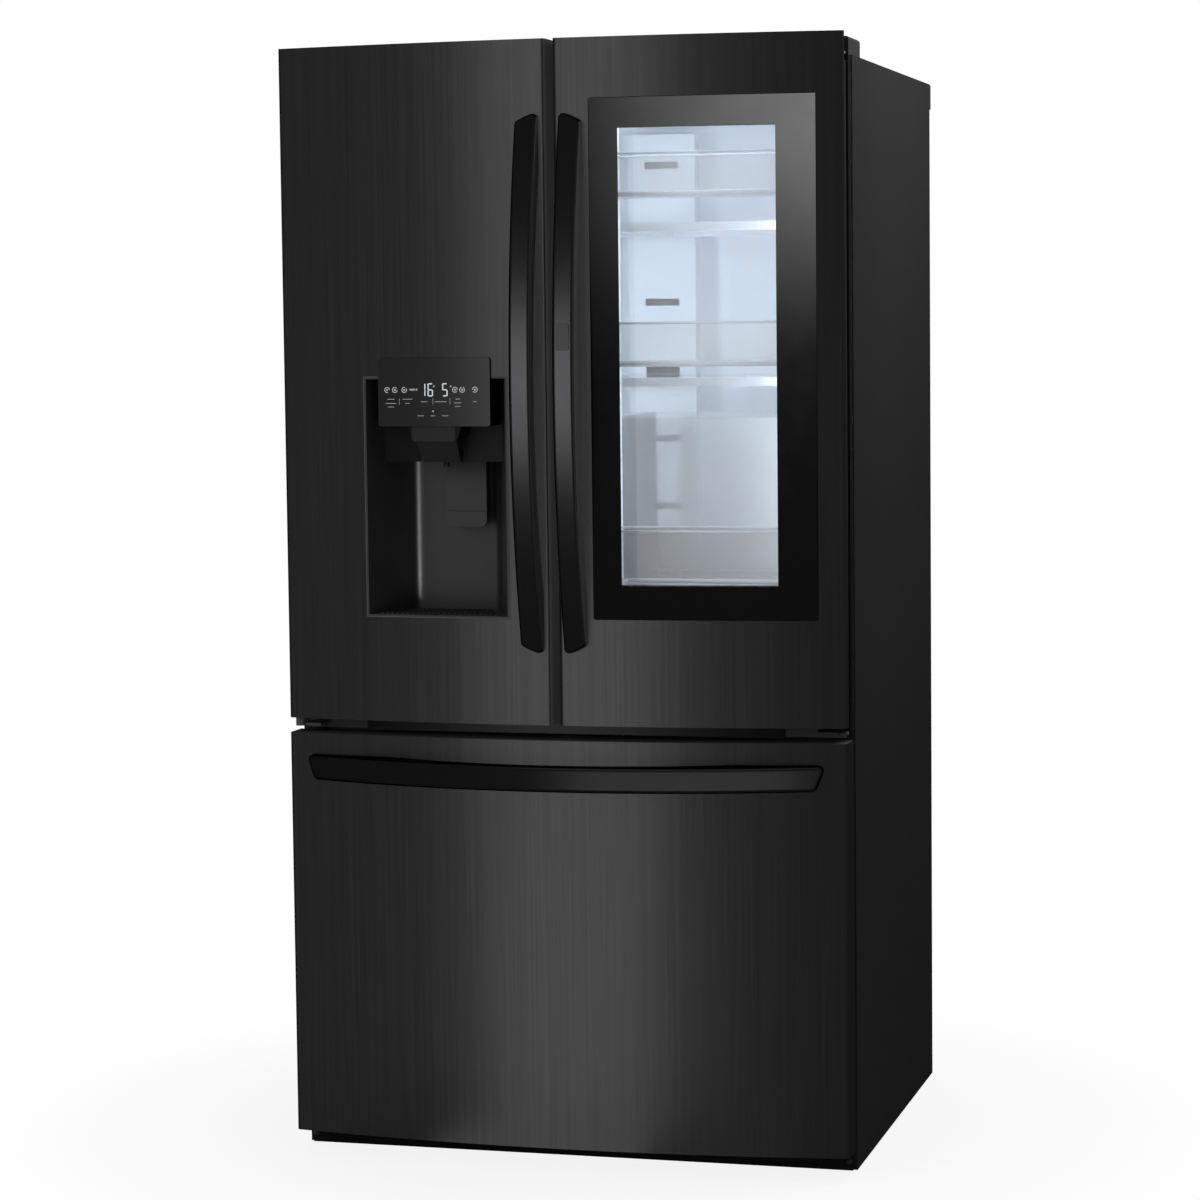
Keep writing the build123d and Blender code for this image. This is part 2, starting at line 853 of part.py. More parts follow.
def left_door_liner():
    liner = door_fill(left_plan, -1)
    liner += ring(dike_left, dike_right, dike_bottom, dike_top, door_back, door_back + dike_height,
                  dike_width)
    field_left = dike_left + dike_width
    field_right = dike_right - dike_width
    bulge_bottom = niche_bottom - bulge_margin
    bulge_top = panel_top + panel_corner
    liner += block(field_left, field_right, door_back, door_back + dispenser_bulge, bulge_bottom, bulge_top)
    liner += block(field_left, field_right, door_back, door_back + ice_room_depth, bulge_top,
                   dike_top - dike_width)
    liner -= niche_block(niche_wall)
    liner -= panel_block()
    ear_left = flap_pivot - flap_ear_width / 2
    ear_right = flap_pivot + flap_ear_width / 2
    for z0 in (flap_bottom - flap_ear - seat_gap, flap_top + seat_gap):
        liner += block(ear_left, ear_right, door_back, flap_y + flap_knuckle, z0, z0 + flap_ear)
    for z in (flap_bottom - flap_ear / 2, flap_top + flap_ear / 2):
        liner -= rod_z(z - flap_pin_reach, z + flap_pin_reach, flap_pivot, flap_y,
                       flap_pin_radius + pin_clearance)
    return liner


def left_door_bins():
    x0 = dike_left + dike_width + bin_fit
    x1 = dike_right - dike_width - bin_fit
    low, high = (fridge_floor + rise for rise in left_bin_rises)
    low_y = door_back + bin_fit
    high_y = door_back + dispenser_bulge + bin_fit
    low_back = low_y + left_bin_depth + dike_height / 2
    low_bin = open_box(x0, x1, low_y, low_back, low, low + left_bin_height, bin_wall)
    high_bin = open_box(x0, x1, high_y, high_y + left_bin_depth, high, high + left_bin_height, bin_wall)
    return [low_bin, high_bin]


def dispenser_niche():
    shell = niche_block(niche_wall) - niche_block(0.0)
    shell -= panel_block()
    return shell & behind_front(0.0, niche_bottom - over, niche_top + over)


def paddle_space():
    """Pocket in the nozzle housing for the head of the paddle."""
    half = paddle_width / 2 + paddle_side_gap
    y = front_y + paddle_setback
    return block(paddle_centre - half, paddle_centre + half, y - paddle_pocket / 2, y + paddle_pocket / 2,
                 nozzle_bottom - over, paddle_pivot_z + paddle_pocket / 2)


paddle_pivot_z = nozzle_bottom + paddle_pocket / 2


def dispenser_nozzle():
    top = niche_top - niche_wall - nozzle_fit
    housing_front = front_y + nozzle_recess
    housing = upright(niche_plan(-nozzle_fit), nozzle_bottom, top)
    housing &= block(niche_left, niche_right, housing_front, case_back, nozzle_bottom, top)
    half_top = tab_width / 2
    half_bottom = tab_bottom_width / 2
    tab_bottom = panel_bottom - tab_height
    tab_front = front_y - 2 * panel_proud
    corners = [(niche_centre - half_top, panel_bottom), (niche_centre + half_top, panel_bottom),
               (niche_centre + half_bottom, tab_bottom), (niche_centre - half_bottom, tab_bottom)]
    outline = make_face(Polyline(*[(x, tab_front, z) for x, z in corners], close=True))
    outline = fillet(outline.vertices().sort_by(Axis.Z)[:2], tab_corner)
    tab = extrude(outline, amount=housing_front - tab_front, dir=(0, 1, 0))
    tab &= behind_front(-tab_proud, tab_bottom, panel_bottom)
    chute_front = front_y + chute_setback
    profile = [(chute_front, panel_bottom), (chute_front, tab_bottom),
               (chute_front + chute_lean, nozzle_bottom), (housing_front + over, nozzle_bottom),
               (housing_front + over, panel_bottom)]
    chute = prism_x(profile, niche_centre - chute_width / 2, niche_centre + chute_width / 2)
    taper = [(niche_centre - chute_width / 2, panel_bottom), (niche_centre + chute_width / 2, panel_bottom),
             (niche_centre + chute_bottom_width / 2, nozzle_bottom),
             (niche_centre - chute_bottom_width / 2, nozzle_bottom)]
    chute &= prism_y(taper, front_y, housing_front + 2 * over)
    spout = rod_z(nozzle_bottom - spout_length, nozzle_bottom + over, niche_centre,
                  housing_front + 2 * spout_radius, spout_radius)
    pivot = rod_x(paddle_centre - paddle_width / 2 - paddle_side_gap - paddle_pin_reach - over,
                  paddle_centre + paddle_width / 2 + paddle_side_gap + paddle_pin_reach + over,
                  front_y + paddle_setback, paddle_pivot_z, paddle_pin_radius + pin_clearance)
    return housing + tab + chute + spout - paddle_space() - pivot


def dispenser_paddle():
    y = front_y + paddle_setback
    left = paddle_centre - paddle_width / 2
    right = paddle_centre + paddle_width / 2
    bottom = paddle_pivot_z - paddle_height
    plate = slab(left, right, bottom, paddle_pivot_z, y - paddle_plate / 2, y + paddle_plate / 2,
                 paddle_corner)
    crease = block(left - over, right + over, y - paddle_plate, y - paddle_plate / 2 + paddle_crease_depth,
                   bottom + paddle_crease_height, bottom + paddle_crease_height + paddle_crease_depth)
    reach = paddle_side_gap + paddle_pin_reach
    return plate - crease + rod_x(left - reach, right + reach, y, paddle_pivot_z, paddle_pin_radius)


flap_y = door_back + gasket_depth / 2
flap_bottom = fridge_floor + flap_end_gap
flap_top = fridge_ceiling - flap_end_gap


def mullion_flap():
    leaf = block(flap_pivot, flap_reach, flap_y - flap_leaf / 2, flap_y + flap_leaf / 2, flap_bottom,
                 flap_top)
    flap = leaf + rod_z(flap_bottom, flap_top, flap_pivot, flap_y, flap_knuckle)
    return flap + rod_z(flap_bottom - flap_pin_reach, flap_top + flap_pin_reach, flap_pivot, flap_y,
                        flap_pin_radius)


gasket_top = fridge_ceiling + gasket_lap + gasket_width
gasket_bottom = fridge_floor - gasket_width


def door_gasket():
    """Seal frame on the back of a door, for the right-hand side."""
    return ring(door_centre_edge + gasket_centre_inset, half_width - gasket_inset, gasket_bottom, gasket_top,
                door_back, case_front, gasket_width)


def left_door_gasket():
    return mirrored(door_gasket())


# Right door

right_x0 = door_centre_edge
right_x1 = half_width


def outer_plan():
    """Plan of the outer right door, rounded about the pin at its hinge corner."""
    plan = rounded_plan(right_x0 + door_sheet, right_x1 - door_sheet, door_sheet, outer_back)
    corner = plan.vertices().sort_by(Axis.Y)[-2:].sort_by(Axis.X)[-1]
    return fillet(corner, hinge_inset - door_sheet)


def front_pane(grow, inset):
    """Outline of the front pane cut between two bowed surfaces."""
    outline = slab(glass_left - grow, glass_right + grow, glass_bottom - grow, glass_top + grow,
                   front_y - over, front_y + front_bow, glass_corner + grow)
    outline &= behind_front(0.0, glass_bottom - glass_plate, glass_top + glass_plate)
    return outline - behind_front(inset, glass_bottom - glass_plate, glass_top + glass_plate)


clear_left = glass_left + border_left
clear_right = glass_right - border_right
clear_bottom = glass_bottom + border_bottom
clear_top = glass_top - border_top


def inner_pane(y0, y1):
    return block(clear_left - inner_pane_lap, clear_right + inner_pane_lap, y0, y1,
                 clear_bottom - inner_pane_lap, clear_top + inner_pane_lap)


def window_glass():
    pane_front = front_y + inner_pane_setback
    return [front_pane(0.0, glass_plate), inner_pane(pane_front, pane_front + inner_pane_plate)]


def window_tube(grow, y0, y1):
    """Space of the window frame, grown outward."""
    return block(glass_left + frame_lap - grow, glass_right - frame_lap + grow, y0, y1,
                 glass_bottom + frame_lap - grow, glass_top - frame_lap + grow)


def window_frame():
    frame = window_tube(0.0, front_y - over, outer_back)
    frame &= behind_front(glass_plate, glass_bottom, glass_top)
    frame -= block(clear_left, clear_right, front_y - over, outer_back + over, clear_bottom, clear_top)
    flare = block(clear_left - border_flare, clear_right + border_flare, front_y - over, outer_back + over,
                  clear_bottom - border_flare, clear_top + border_flare)
    frame -= flare & behind_front(glass_plate + border_lip, glass_bottom, glass_top)
    return frame - inner_pane(front_y + inner_pane_setback, outer_back + over)


def right_door_skin():
    skin = bowed_skin(right_x0, right_x1, door_bottom, door_top, pin_y)
    skin -= hinge_notch(1)
    return skin - front_pane(glass_reveal, glass_plate)


def right_door_core():
    core = door_fill(outer_plan(), 1)
    core -= front_pane(glass_reveal, glass_plate)
    return core - window_tube(0.0, front_y - over, outer_back + over)


tunnel_left = door_centre_edge + tunnel_centre_inset
tunnel_right = half_width - tunnel_side_inset
tunnel_bottom = fridge_floor + tunnel_end_inset
tunnel_top = fridge_ceiling - tunnel_end_inset
tunnel_back = frame_front + tunnel_depth


def did_gasket():
    """Seal between the outer right door and its inner frame."""
    grow = did_gasket_lap + did_gasket_width
    return ring(tunnel_left - grow, tunnel_right + grow, tunnel_bottom - grow, tunnel_top + grow,
                outer_back, frame_front, did_gasket_width)


def frame_lugs():
    """Hinge lugs of the inner frame, below and above the outer door, with the outer door's pins."""
    lug_plan = hinge_arm_plan(pin_y, door_back)
    lug_top = lug_bottom + lug_height
    low = upright(lug_plan, lug_bottom, lug_top)
    low += rod_z(lug_top, door_bottom - seat_gap, pin_x, pin_y, boss_radius)
    low += rod_z(lug_bottom, door_bottom + pin_reach, pin_x, pin_y, pin_radius)
    low += block(pin_x - hinge_arm, half_width, frame_front, door_back, lug_bottom, door_bottom + hinge_block)
    high_bottom = notch_floor + lug_gap
    high = upright(lug_plan, high_bottom, high_bottom + lug_height)
    high += rod_z(notch_floor - pin_reach, high_bottom + lug_height, pin_x, pin_y, pin_radius)
    return low + high


def inner_door_frame():
    left = door_centre_edge + frame_centre_inset
    bottom = door_bottom + frame_edge_inset
    top = door_top - frame_edge_inset
    frame = block(left, half_width, frame_front, door_back, bottom, top)
    frame -= block(pin_x - notch_width, half_width + over, frame_front - over, door_back + over,
                   frame_corner_top, door_top + over)
    frame += block(tunnel_left, tunnel_right, frame_front, tunnel_back, tunnel_bottom, tunnel_top)
    frame -= block(tunnel_left + tunnel_wall, tunnel_right - tunnel_wall, frame_front - over,
                   tunnel_back + over, tunnel_bottom + tunnel_wall, tunnel_top - tunnel_wall)
    frame += frame_lugs()
    bore = pin_radius + pin_clearance
    frame -= rod_z(frame_corner_top - pin_reach - over, door_top, pin_x, frame_pin_y, bore)
    return frame - rod_z(lug_bottom - over, lug_bottom + pin_reach + over, pin_x, frame_pin_y, bore)


def inner_door_bins():
    x0 = tunnel_left + tunnel_wall + bin_fit
    x1 = tunnel_right - tunnel_wall - bin_fit
    y0 = frame_front + bin_setback
    bins = []
    for share, height in zip(bin_shares, bin_heights):
        top = tunnel_bottom + share * (tunnel_top - tunnel_bottom)
        bins.append(open_box(x0, x1, y0, tunnel_back, top - height, top, bin_wall))
    return bins


# Shelves and fridge drawers


def shelf(x0, x1, level):
    """Shelf frame and its pane."""
    y0 = front_y + shelf_setback
    y1 = room_back - shelf_rear_gap
    top = level + shelf_plate
    pane = block(x0 + shelf_border, x1 - shelf_border, y0 + shelf_border, y1 - shelf_border,
                 top - shelf_pane, top)
    inset = shelf_border + shelf_lip
    frame = block(x0, x1, y0, y1, level, top) - pane
    frame -= block(x0 + inset, x1 - inset, y0 + inset, y1 - inset, level - over, top)
    return frame, pane


def shelf_set():
    reach = room_half - shelf_side_gap
    frame, pane = shelf(shelf_middle_gap / 2, reach, upper_shelf)
    rear = room_back - shelf_rear_gap
    for x in (duct_width / 2 + shelf_arm, reach - shelf_arm):
        frame += block(x, x + shelf_arm, rear - over, room_back, upper_shelf, upper_shelf + shelf_plate)
    frames = [frame, mirrored(frame)]
    panes = [pane, mirrored(pane)]
    for level in (crisper_shelf, pantry_shelf):
        frame, pane = shelf(-reach, reach, level)
        frames.append(frame)
        panes.append(pane)
    return frames, panes


def air_duct():
    half = duct_width / 2
    front = room_back - duct_depth
    duct = block(-half, half, front, room_back, duct_bottom, duct_top)
    duct -= block(duct_wall - half, half - duct_wall, front + duct_wall, room_back + over,
                  duct_bottom + duct_wall, duct_top - duct_wall)
    step = (duct_top - duct_bottom) / duct_slots
    for index in range(duct_slots):
        z = duct_bottom + step * (index + 0.5)
        duct -= block(-half / 2, half / 2, front - over, front + duct_wall + over, z, z + duct_slot_height)
    return duct


def lamp():
    y0 = front_y + shelf_setback
    top = fridge_ceiling - liner_wall
    return block(-lamp_width / 2, lamp_width / 2, y0, y0 + lamp_depth, top - lamp_height, top)


def pull_drawer(x0, x1, y0, y1, z0, z1, wall):
    """Open drawer with a grip lip along the top of its front."""
    body = open_box(x0, x1, y0, y1, z0, z1, wall)
    lip = block(x0, x1, y0 - drawer_lip, y0 + wall, z1 - drawer_lip, z1)
    lip = chamfer(lip.edges().filter_by(Axis.X).group_by(Axis.Z)[0].sort_by(Axis.Y)[:1], drawer_lip / 2)
    return body + lip


def crisper_right():
    bottom = pantry_shelf + shelf_plate + seat_gap
    return pull_drawer(crisper_gap / 2, room_half - drawer_side_gap, front_y + crisper_setback,
                       room_back - shelf_rear_gap - drawer_lip, bottom, crisper_shelf - crisper_top_gap,
                       drawer_wall)


def crisper_left():
    return mirrored(crisper_right())


def pantry_drawer():
    reach = room_half - drawer_side_gap
    bottom = fridge_floor + liner_wall + pantry_runner + seat_gap
    return pull_drawer(-reach, reach, front_y + pantry_setback, room_back - shelf_rear_gap,
                       bottom, pantry_shelf - rib_height - pantry_top_gap, drawer_wall)


# Freezer drawer


def drawer_skin():
    return bowed_skin(-half_width, half_width, drawer_bottom, drawer_top, door_back)


plug_back = door_back + plug_depth
plug_half = room_half - plug_side_gap
plug_bottom = freezer_floor + liner_wall + plug_bottom_gap
plug_top = freezer_ceiling - liner_wall - plug_top_gap


def drawer_liner():
    reach = half_width - door_sheet
    body = upright(rounded_plan(-reach, reach, door_sheet, door_back), drawer_bottom, drawer_top)
    return body + block(-plug_half, plug_half, door_back, plug_back, plug_bottom, plug_top)


def drawer_gasket():
    return ring(gasket_inset - half_width, half_width - gasket_inset, freezer_floor - gasket_width - over,
                freezer_ceiling + gasket_width + over, door_back, case_front, gasket_width)


rail_x1 = room_half - rail_side_gap
rail_x0 = rail_x1 - rail_bar
rail_top = rail_bottom + rail_height
gear_y = front_y + gear_setback
gear_x0 = rail_x1 + gear_side_gap
gear_x1 = gear_x0 + gear_width
gear_pitch_radius = gear_module * gear_teeth / 2


def moving_rail():
    rail = block(rail_x0, rail_x1, plug_back, front_y + rail_rear, rail_bottom, rail_top)
    return rail - rod_x(rail_x0 - over, rail_x1 + over, gear_y, gear_height, shaft_radius + pin_clearance)


def drawer_rails():
    return [moving_rail(), mirrored(moving_rail())]


def freezer_basket():
    reach = rail_x0 - basket_side_gap
    top = basket_bottom + basket_height
    front = front_y + basket_front
    back = step_back - basket_rear_gap
    basket = open_box(-reach, reach, front, back, basket_bottom, top, basket_wall)
    flange_bottom = rail_top + seat_gap
    flange = block(reach - basket_wall, rail_x1 - over, front, back, flange_bottom,
                   flange_bottom + basket_flange)
    return basket + flange + mirrored(flange)


def freezer_tray():
    reach = room_half - tray_side_gap
    back = room_back - evaporator_space - cover_plate - drawer_lip
    return pull_drawer(-reach, reach, front_y + tray_setback, back, tray_bottom, tray_bottom + tray_height,
                       drawer_wall)


def rack_outline():
    """Outline of the fixed rail's toothed bar in (y, z): straight-flanked teeth on a flat bar."""
    pitch = pi * gear_module
    slope = tan(radians(gear_pressure))
    pitch_line = gear_height - gear_pitch_radius
    tip = pitch_line + gear_addendum * gear_module
    root = pitch_line - gear_dedendum * gear_module
    half = pitch / 4 - gear_backlash / 2
    half_tip = half - gear_addendum * gear_module * slope
    half_root = half + gear_dedendum * gear_module * slope
    before = int((gear_y - front_y - rack_front) / pitch - 0.5)
    after = int((rack_rear + front_y - gear_y) / pitch - 0.5)
    points = [(front_y + rack_rear, rail_bottom - seat_gap), (front_y + rack_front, rail_bottom - seat_gap),
              (front_y + rack_front, root)]
    for index in range(-before, after + 1):
        y = gear_y + index * pitch
        points += [(y - half_root, root), (y - half_tip, tip), (y + half_tip, tip), (y + half_root, root)]
    return points + [(front_y + rack_rear, root)]


def fixed_rail():
    rack = prism_x(rack_outline(), gear_x0, gear_x1 + gear_side_gap)
    ledge_top = rail_bottom - seat_gap
    ledge = block(rail_x0, room_half, front_y + rack_front, front_y + rack_rear, ledge_top - rail_ledge,
                  ledge_top)
    plate = block(room_half - rail_back_plate, room_half, front_y + rack_front, front_y + rack_rear,
                  ledge_top, rail_top)
    web = block(gear_x1 + gear_side_gap - over, room_half, front_y + rack_front, front_y + rack_rear,
                ledge_top, gear_height - gear_pitch_radius - gear_dedendum * gear_module)
    return rack + ledge + plate + web


def fixed_rails():
    return [fixed_rail(), mirrored(fixed_rail())]


def involute(angle):
    return tan(angle) - angle


def pinion_outline():
    """Spur pinion in (y, z) with involute flanks, a tooth space pointing down at the rack."""
    pressure = radians(gear_pressure)
    base = gear_pitch_radius * cos(pressure)
    root = gear_pitch_radius - gear_dedendum * gear_module
    tip = gear_pitch_radius + gear_addendum * gear_module
    half_pitch = (pi * gear_module / 2 - gear_backlash) / 2 / gear_pitch_radius
    flank = []
    for radius in (base, gear_pitch_radius, tip):
        reach = sqrt(max((radius / base) ** 2 - 1, 0.0))
        flank.append((radius, half_pitch + involute(pressure) - (reach - atan(reach))))
    flank.insert(0, (root, flank[0][1]))
    points = []
    for tooth in range(gear_teeth):
        middle = -pi / 2 + (tooth + 0.5) * 2 * pi / gear_teeth
        rising = [(radius, middle - half) for radius, half in flank]
        falling = [(radius, middle + half) for radius, half in reversed(flank)]
        for radius, angle in rising + falling:
            points.append((gear_y + radius * cos(angle), gear_height + radius * sin(angle)))
    return points


def gear_bar():
    pinion = prism_x(pinion_outline(), gear_x0, gear_x1)
    shaft = rod_x(-gear_x1, gear_x1, gear_y, gear_height, shaft_radius)
    return shaft + pinion + mirrored(pinion)


cover_back = room_back - evaporator_space


def evaporator_cover():
    z0 = step_height + liner_wall
    z1 = freezer_ceiling - liner_wall
    cover = block(-room_half, room_half, cover_back - cover_plate, cover_back, z0, z1)
    step = (z1 - z0) / (cover_slots + 1)
    for index in range(cover_slots):
        z = z0 + step * (index + 1)
        cover -= block(-evaporator_width / 4, evaporator_width / 4, cover_back - cover_plate - over,
                       cover_back + over, z - duct_slot_height / 2, z + duct_slot_height / 2)
    return cover


def comb(x0, x1, y0, y1, z0, z1, fins, base):
    """Finned block: a base with upright fins across X."""
    pitch = (x1 - x0) / (fins - 0.5)
    fin_block = block(x0, x1, y0, y1, z0, z1)
    for index in range(fins - 1):
        gap = x0 + pitch * (index + 0.5)
        fin_block -= block(gap, gap + pitch / 2, y0 - over, y1 + over, z0 + base, z1 + over)
    return fin_block


def evaporator():
    return comb(-evaporator_width / 2, evaporator_width / 2, cover_back + seat_gap, room_back - seat_gap,
                step_height + liner_wall + seat_gap, freezer_ceiling - liner_wall - rib_height,
                evaporator_fins, condenser_base)


# Base and machine room

leg_x = inner_half - base_rail / 2
leg_y = front_y + leg_setback
roller_y = case_back - roller_inset
web_bottom = base_height - base_sheet
cover_front = case_back - base_sheet


def base_side():
    """Side rail of the base frame with the leg's boss and the roller's axle."""
    inner = inner_half - base_rail
    y0 = case_front + case_sheet
    side = block(inner, inner_half, y0, cover_front, base_bottom, base_height)
    side -= block(inner + base_sheet, inner_half - base_sheet, y0 - over, case_back + over,
                  base_bottom - over, web_bottom)
    side += rod_z(web_bottom - leg_boss_height, web_bottom, leg_x, leg_y, leg_boss_radius)
    side -= rod_z(web_bottom - leg_boss_height - over, web_bottom, leg_x, leg_y, leg_radius + pin_clearance)
    return side + rod_x(inner + over, inner_half - over, roller_y, roller_radius, roller_axle)


def base_frame():
    inner = inner_half - base_rail
    frame = base_side() + mirrored(base_side())
    y0 = case_front + case_sheet
    beam = block(-inner, inner, y0, y0 + base_rail, base_bottom, base_height)
    beam -= block(-inner - over, inner + over, y0 + base_sheet, y0 + base_rail - base_sheet,
                  base_bottom - over, web_bottom)
    tray = block(-inner, inner, machine_front, cover_front, tray_floor, tray_floor + base_sheet)
    return frame + beam + tray


def levelling_leg():
    foot = rod_z(0.0, leg_foot_height, leg_x, leg_y, leg_foot_radius)
    return foot + rod_z(leg_foot_height, web_bottom - pin_clearance - over, leg_x, leg_y, leg_radius)


def roller():
    wheel = rod_x(leg_x - roller_width / 2, leg_x + roller_width / 2, roller_y, roller_radius, roller_radius)
    return wheel - rod_x(leg_x - roller_width, leg_x + roller_width, roller_y, roller_radius,
                         roller_axle + pin_clearance)


def base_cover():
    reach = half_width - toe_inset
    y0 = front_y + toe_setback
    top = drawer_bottom - toe_top_gap
    front = block(-reach, reach, y0, y0 + toe_sheet, floor_gap, top)
    shelf_strip = block(-reach, reach, y0, case_front, top - toe_sheet, top)
    tongue = block(-liner_half, liner_half, case_front - over, case_front + case_sheet,
                   top - 2 * toe_sheet, top)
    return front + shelf_strip + tongue


def machine_cover():
    reach = inner_half - base_sheet
    cover = block(-reach, reach, cover_front, case_back, base_bottom, machine_height)
    step = (machine_height - base_height) / (louvre_rows + 1)
    for side in (-1, 1):
        for index in range(louvre_rows):
            z = base_height + step * (index + 1)
            middle = side * (louvre_width + louvre_gap) / 2
            cover -= block(middle - louvre_width / 2, middle + louvre_width / 2, cover_front - over,
                           case_back + over, z - louvre_height / 2, z + louvre_height / 2)
    cover += rod_y(cover_front, case_back + gland_length, gland_x, gland_height, gland_radius)
    cover -= rod_y(cover_front - over, case_back + gland_length + over, gland_x, gland_height, gland_bore)
    return cover - rod_y(cover_front - over, case_back + over, valve_x, valve_height,
                         valve_stub_radius + valve_hole_gap)


machine_floor = tray_floor + base_sheet
machine_middle = (machine_front + case_back) / 2


def compressor():
    bottom = machine_floor + compressor_foot
    pot = rod_z(bottom, bottom + compressor_height, compressor_x, machine_middle, compressor_radius)
    pot = fillet(pot.edges().filter_by(GeomType.CIRCLE), compressor_round)
    half = compressor_radius
    plate = block(compressor_x - half, compressor_x + half, machine_middle - half / 2,
                  machine_middle + half / 2, bottom, bottom + base_sheet)
    pot += plate
    for sx in (-1, 1):
        for sy in (-1, 1):
            pot += rod_z(machine_floor, bottom, compressor_x + sx * (half - 2 * compressor_foot),
                         machine_middle + sy * (half / 2 - compressor_foot), compressor_foot)
    return pot


def fan_motor():
    back = fan_x + fan_hub_length / 2 + motor_gap
    motor = rod_x(back, back + motor_length, machine_middle, fan_height, motor_radius)
    shaft = rod_x(fan_x - fan_hub_length / 2 + over, back + over, machine_middle, fan_height, motor_shaft)
    foot = block(back, back + motor_length, machine_middle - motor_foot / 2, machine_middle + motor_foot / 2,
                 machine_floor, fan_height)
    return motor + shaft + foot


def condenser_unit():
    coil = comb(condenser_left, condenser_left + condenser_width, machine_middle - condenser_depth / 2,
                machine_middle + condenser_depth / 2, machine_floor, machine_floor + condenser_height,
                condenser_fins, condenser_base)
    return [coil, fan_motor()]


def condenser_fan():
    hub = rod_x(fan_x - fan_hub_length / 2, fan_x + fan_hub_length / 2, machine_middle, fan_height,
                fan_hub_radius)
    blade_length = fan_radius - fan_hub_radius / 2
    for index in range(fan_blades):
        blade = Rot(0, 0, fan_blade_angle) * Box(fan_blade_sheet, fan_blade_width, blade_length)
        blade = Pos(0, 0, fan_hub_radius / 2 + blade_length / 2) * blade
        hub += Pos(fan_x, machine_middle, fan_height) * Rot(360 * index / fan_blades, 0, 0) * blade
    bore = rod_x(fan_x - fan_hub_length, fan_x + fan_hub_length, machine_middle, fan_height,
                 motor_shaft + pin_clearance)
    return hub - bore


def water_valve():
    front = cover_front - valve_depth
    half = valve_width / 2
    body = block(valve_x - half, valve_x + half, front, cover_front, valve_height - half, valve_height + half)
    return body + rod_y(cover_front - over, case_back + valve_stub_length, valve_x, valve_height,
                        valve_stub_radius)


def parts():
    """Every node by its name; a node is one solid or a list of separate solids."""
    frames, panes = shelf_set()
    return {
        "case_wrap": case_wrap(),
        "insulation": insulation(),
        "fridge_liner": fridge_liner(),
        "freezer_liner": freezer_liner(),
        "back_sheet": back_sheet(),
        "cross_rails": cross_rails(),
        "door_hinges": door_hinges(),
        "hinge_covers": hinge_covers(),
        "rear_spacer": rear_spacer(),
        "base_cover": base_cover(),
        "base_frame": base_frame(),
        "machine_cover": machine_cover(),
        "compressor": compressor(),
        "condenser_unit": condenser_unit(),
        "condenser_fan": condenser_fan(),
        "water_valve": water_valve(),
        "evaporator": evaporator(),
        "evaporator_cover": evaporator_cover(),
        "air_duct": air_duct(),
        "lamp": lamp(),
        "shelf_frames": frames,
        "shelf_panes": panes,
        "crisper_left": crisper_left(),
        "crisper_right": crisper_right(),
        "pantry_drawer": pantry_drawer(),
        "fixed_rails": fixed_rails(),
        "leg_right": levelling_leg(),
        "leg_left": mirrored(levelling_leg()),
        "roller_right": roller(),
        "roller_left": mirrored(roller()),
        "left_door_skin": left_door_skin(),
        "left_door_liner": left_door_liner(),
        "left_door_caps": door_caps(left_plan, -1),
        "left_door_gasket": left_door_gasket(),
        "left_door_handle": door_handle(left_handle_x, -1),
        "left_door_bins": left_door_bins(),
        "dispenser_niche": dispenser_niche(),
        "dispenser_panel": panel_block(),
        "dispenser_nozzle": dispenser_nozzle(),
        "dispenser_paddle": dispenser_paddle(),
        "mullion_flap": mullion_flap(),
        "right_door_skin": right_door_skin(),
        "right_door_core": right_door_core(),
        "right_door_caps": door_caps(outer_plan(), 1),
        "window_glass": window_glass(),
        "window_frame": window_frame(),
        "did_gasket": did_gasket(),
        "right_door_handle": right_door_handle(),
        "handle_button": handle_button(),
        "inner_door_frame": inner_door_frame(),
        "inner_door_gasket": door_gasket(),
        "inner_door_bins": inner_door_bins(),
        "drawer_skin": drawer_skin(),
        "drawer_liner": drawer_liner(),
        "drawer_gasket": drawer_gasket(),
        "drawer_handle": drawer_handle(),
        "drawer_rails": drawer_rails(),
        "freezer_basket": freezer_basket(),
        "freezer_tray": freezer_tray(),
        "gear_bar": gear_bar(),
    }


def export(name, shape):
    """One STEP file for a node."""
    if isinstance(shape, list):
        solids = [solid for item in shape for solid in item.solids()]
    else:
        solids = shape.solids()
    node = solids[0] if len(solids) == 1 else Compound(children=solids)
    node.label = name
    export_step(node, f"parts/{name}.step")


os.makedirs("parts", exist_ok=True)
for name, shape in parts().items():
    export(name, shape)
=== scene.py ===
"""Finishes and small pieces of a french door refrigerator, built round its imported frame."""

import functools
import math

import bmesh
import bpy
import numpy as np
from mathutils import Matrix, Vector


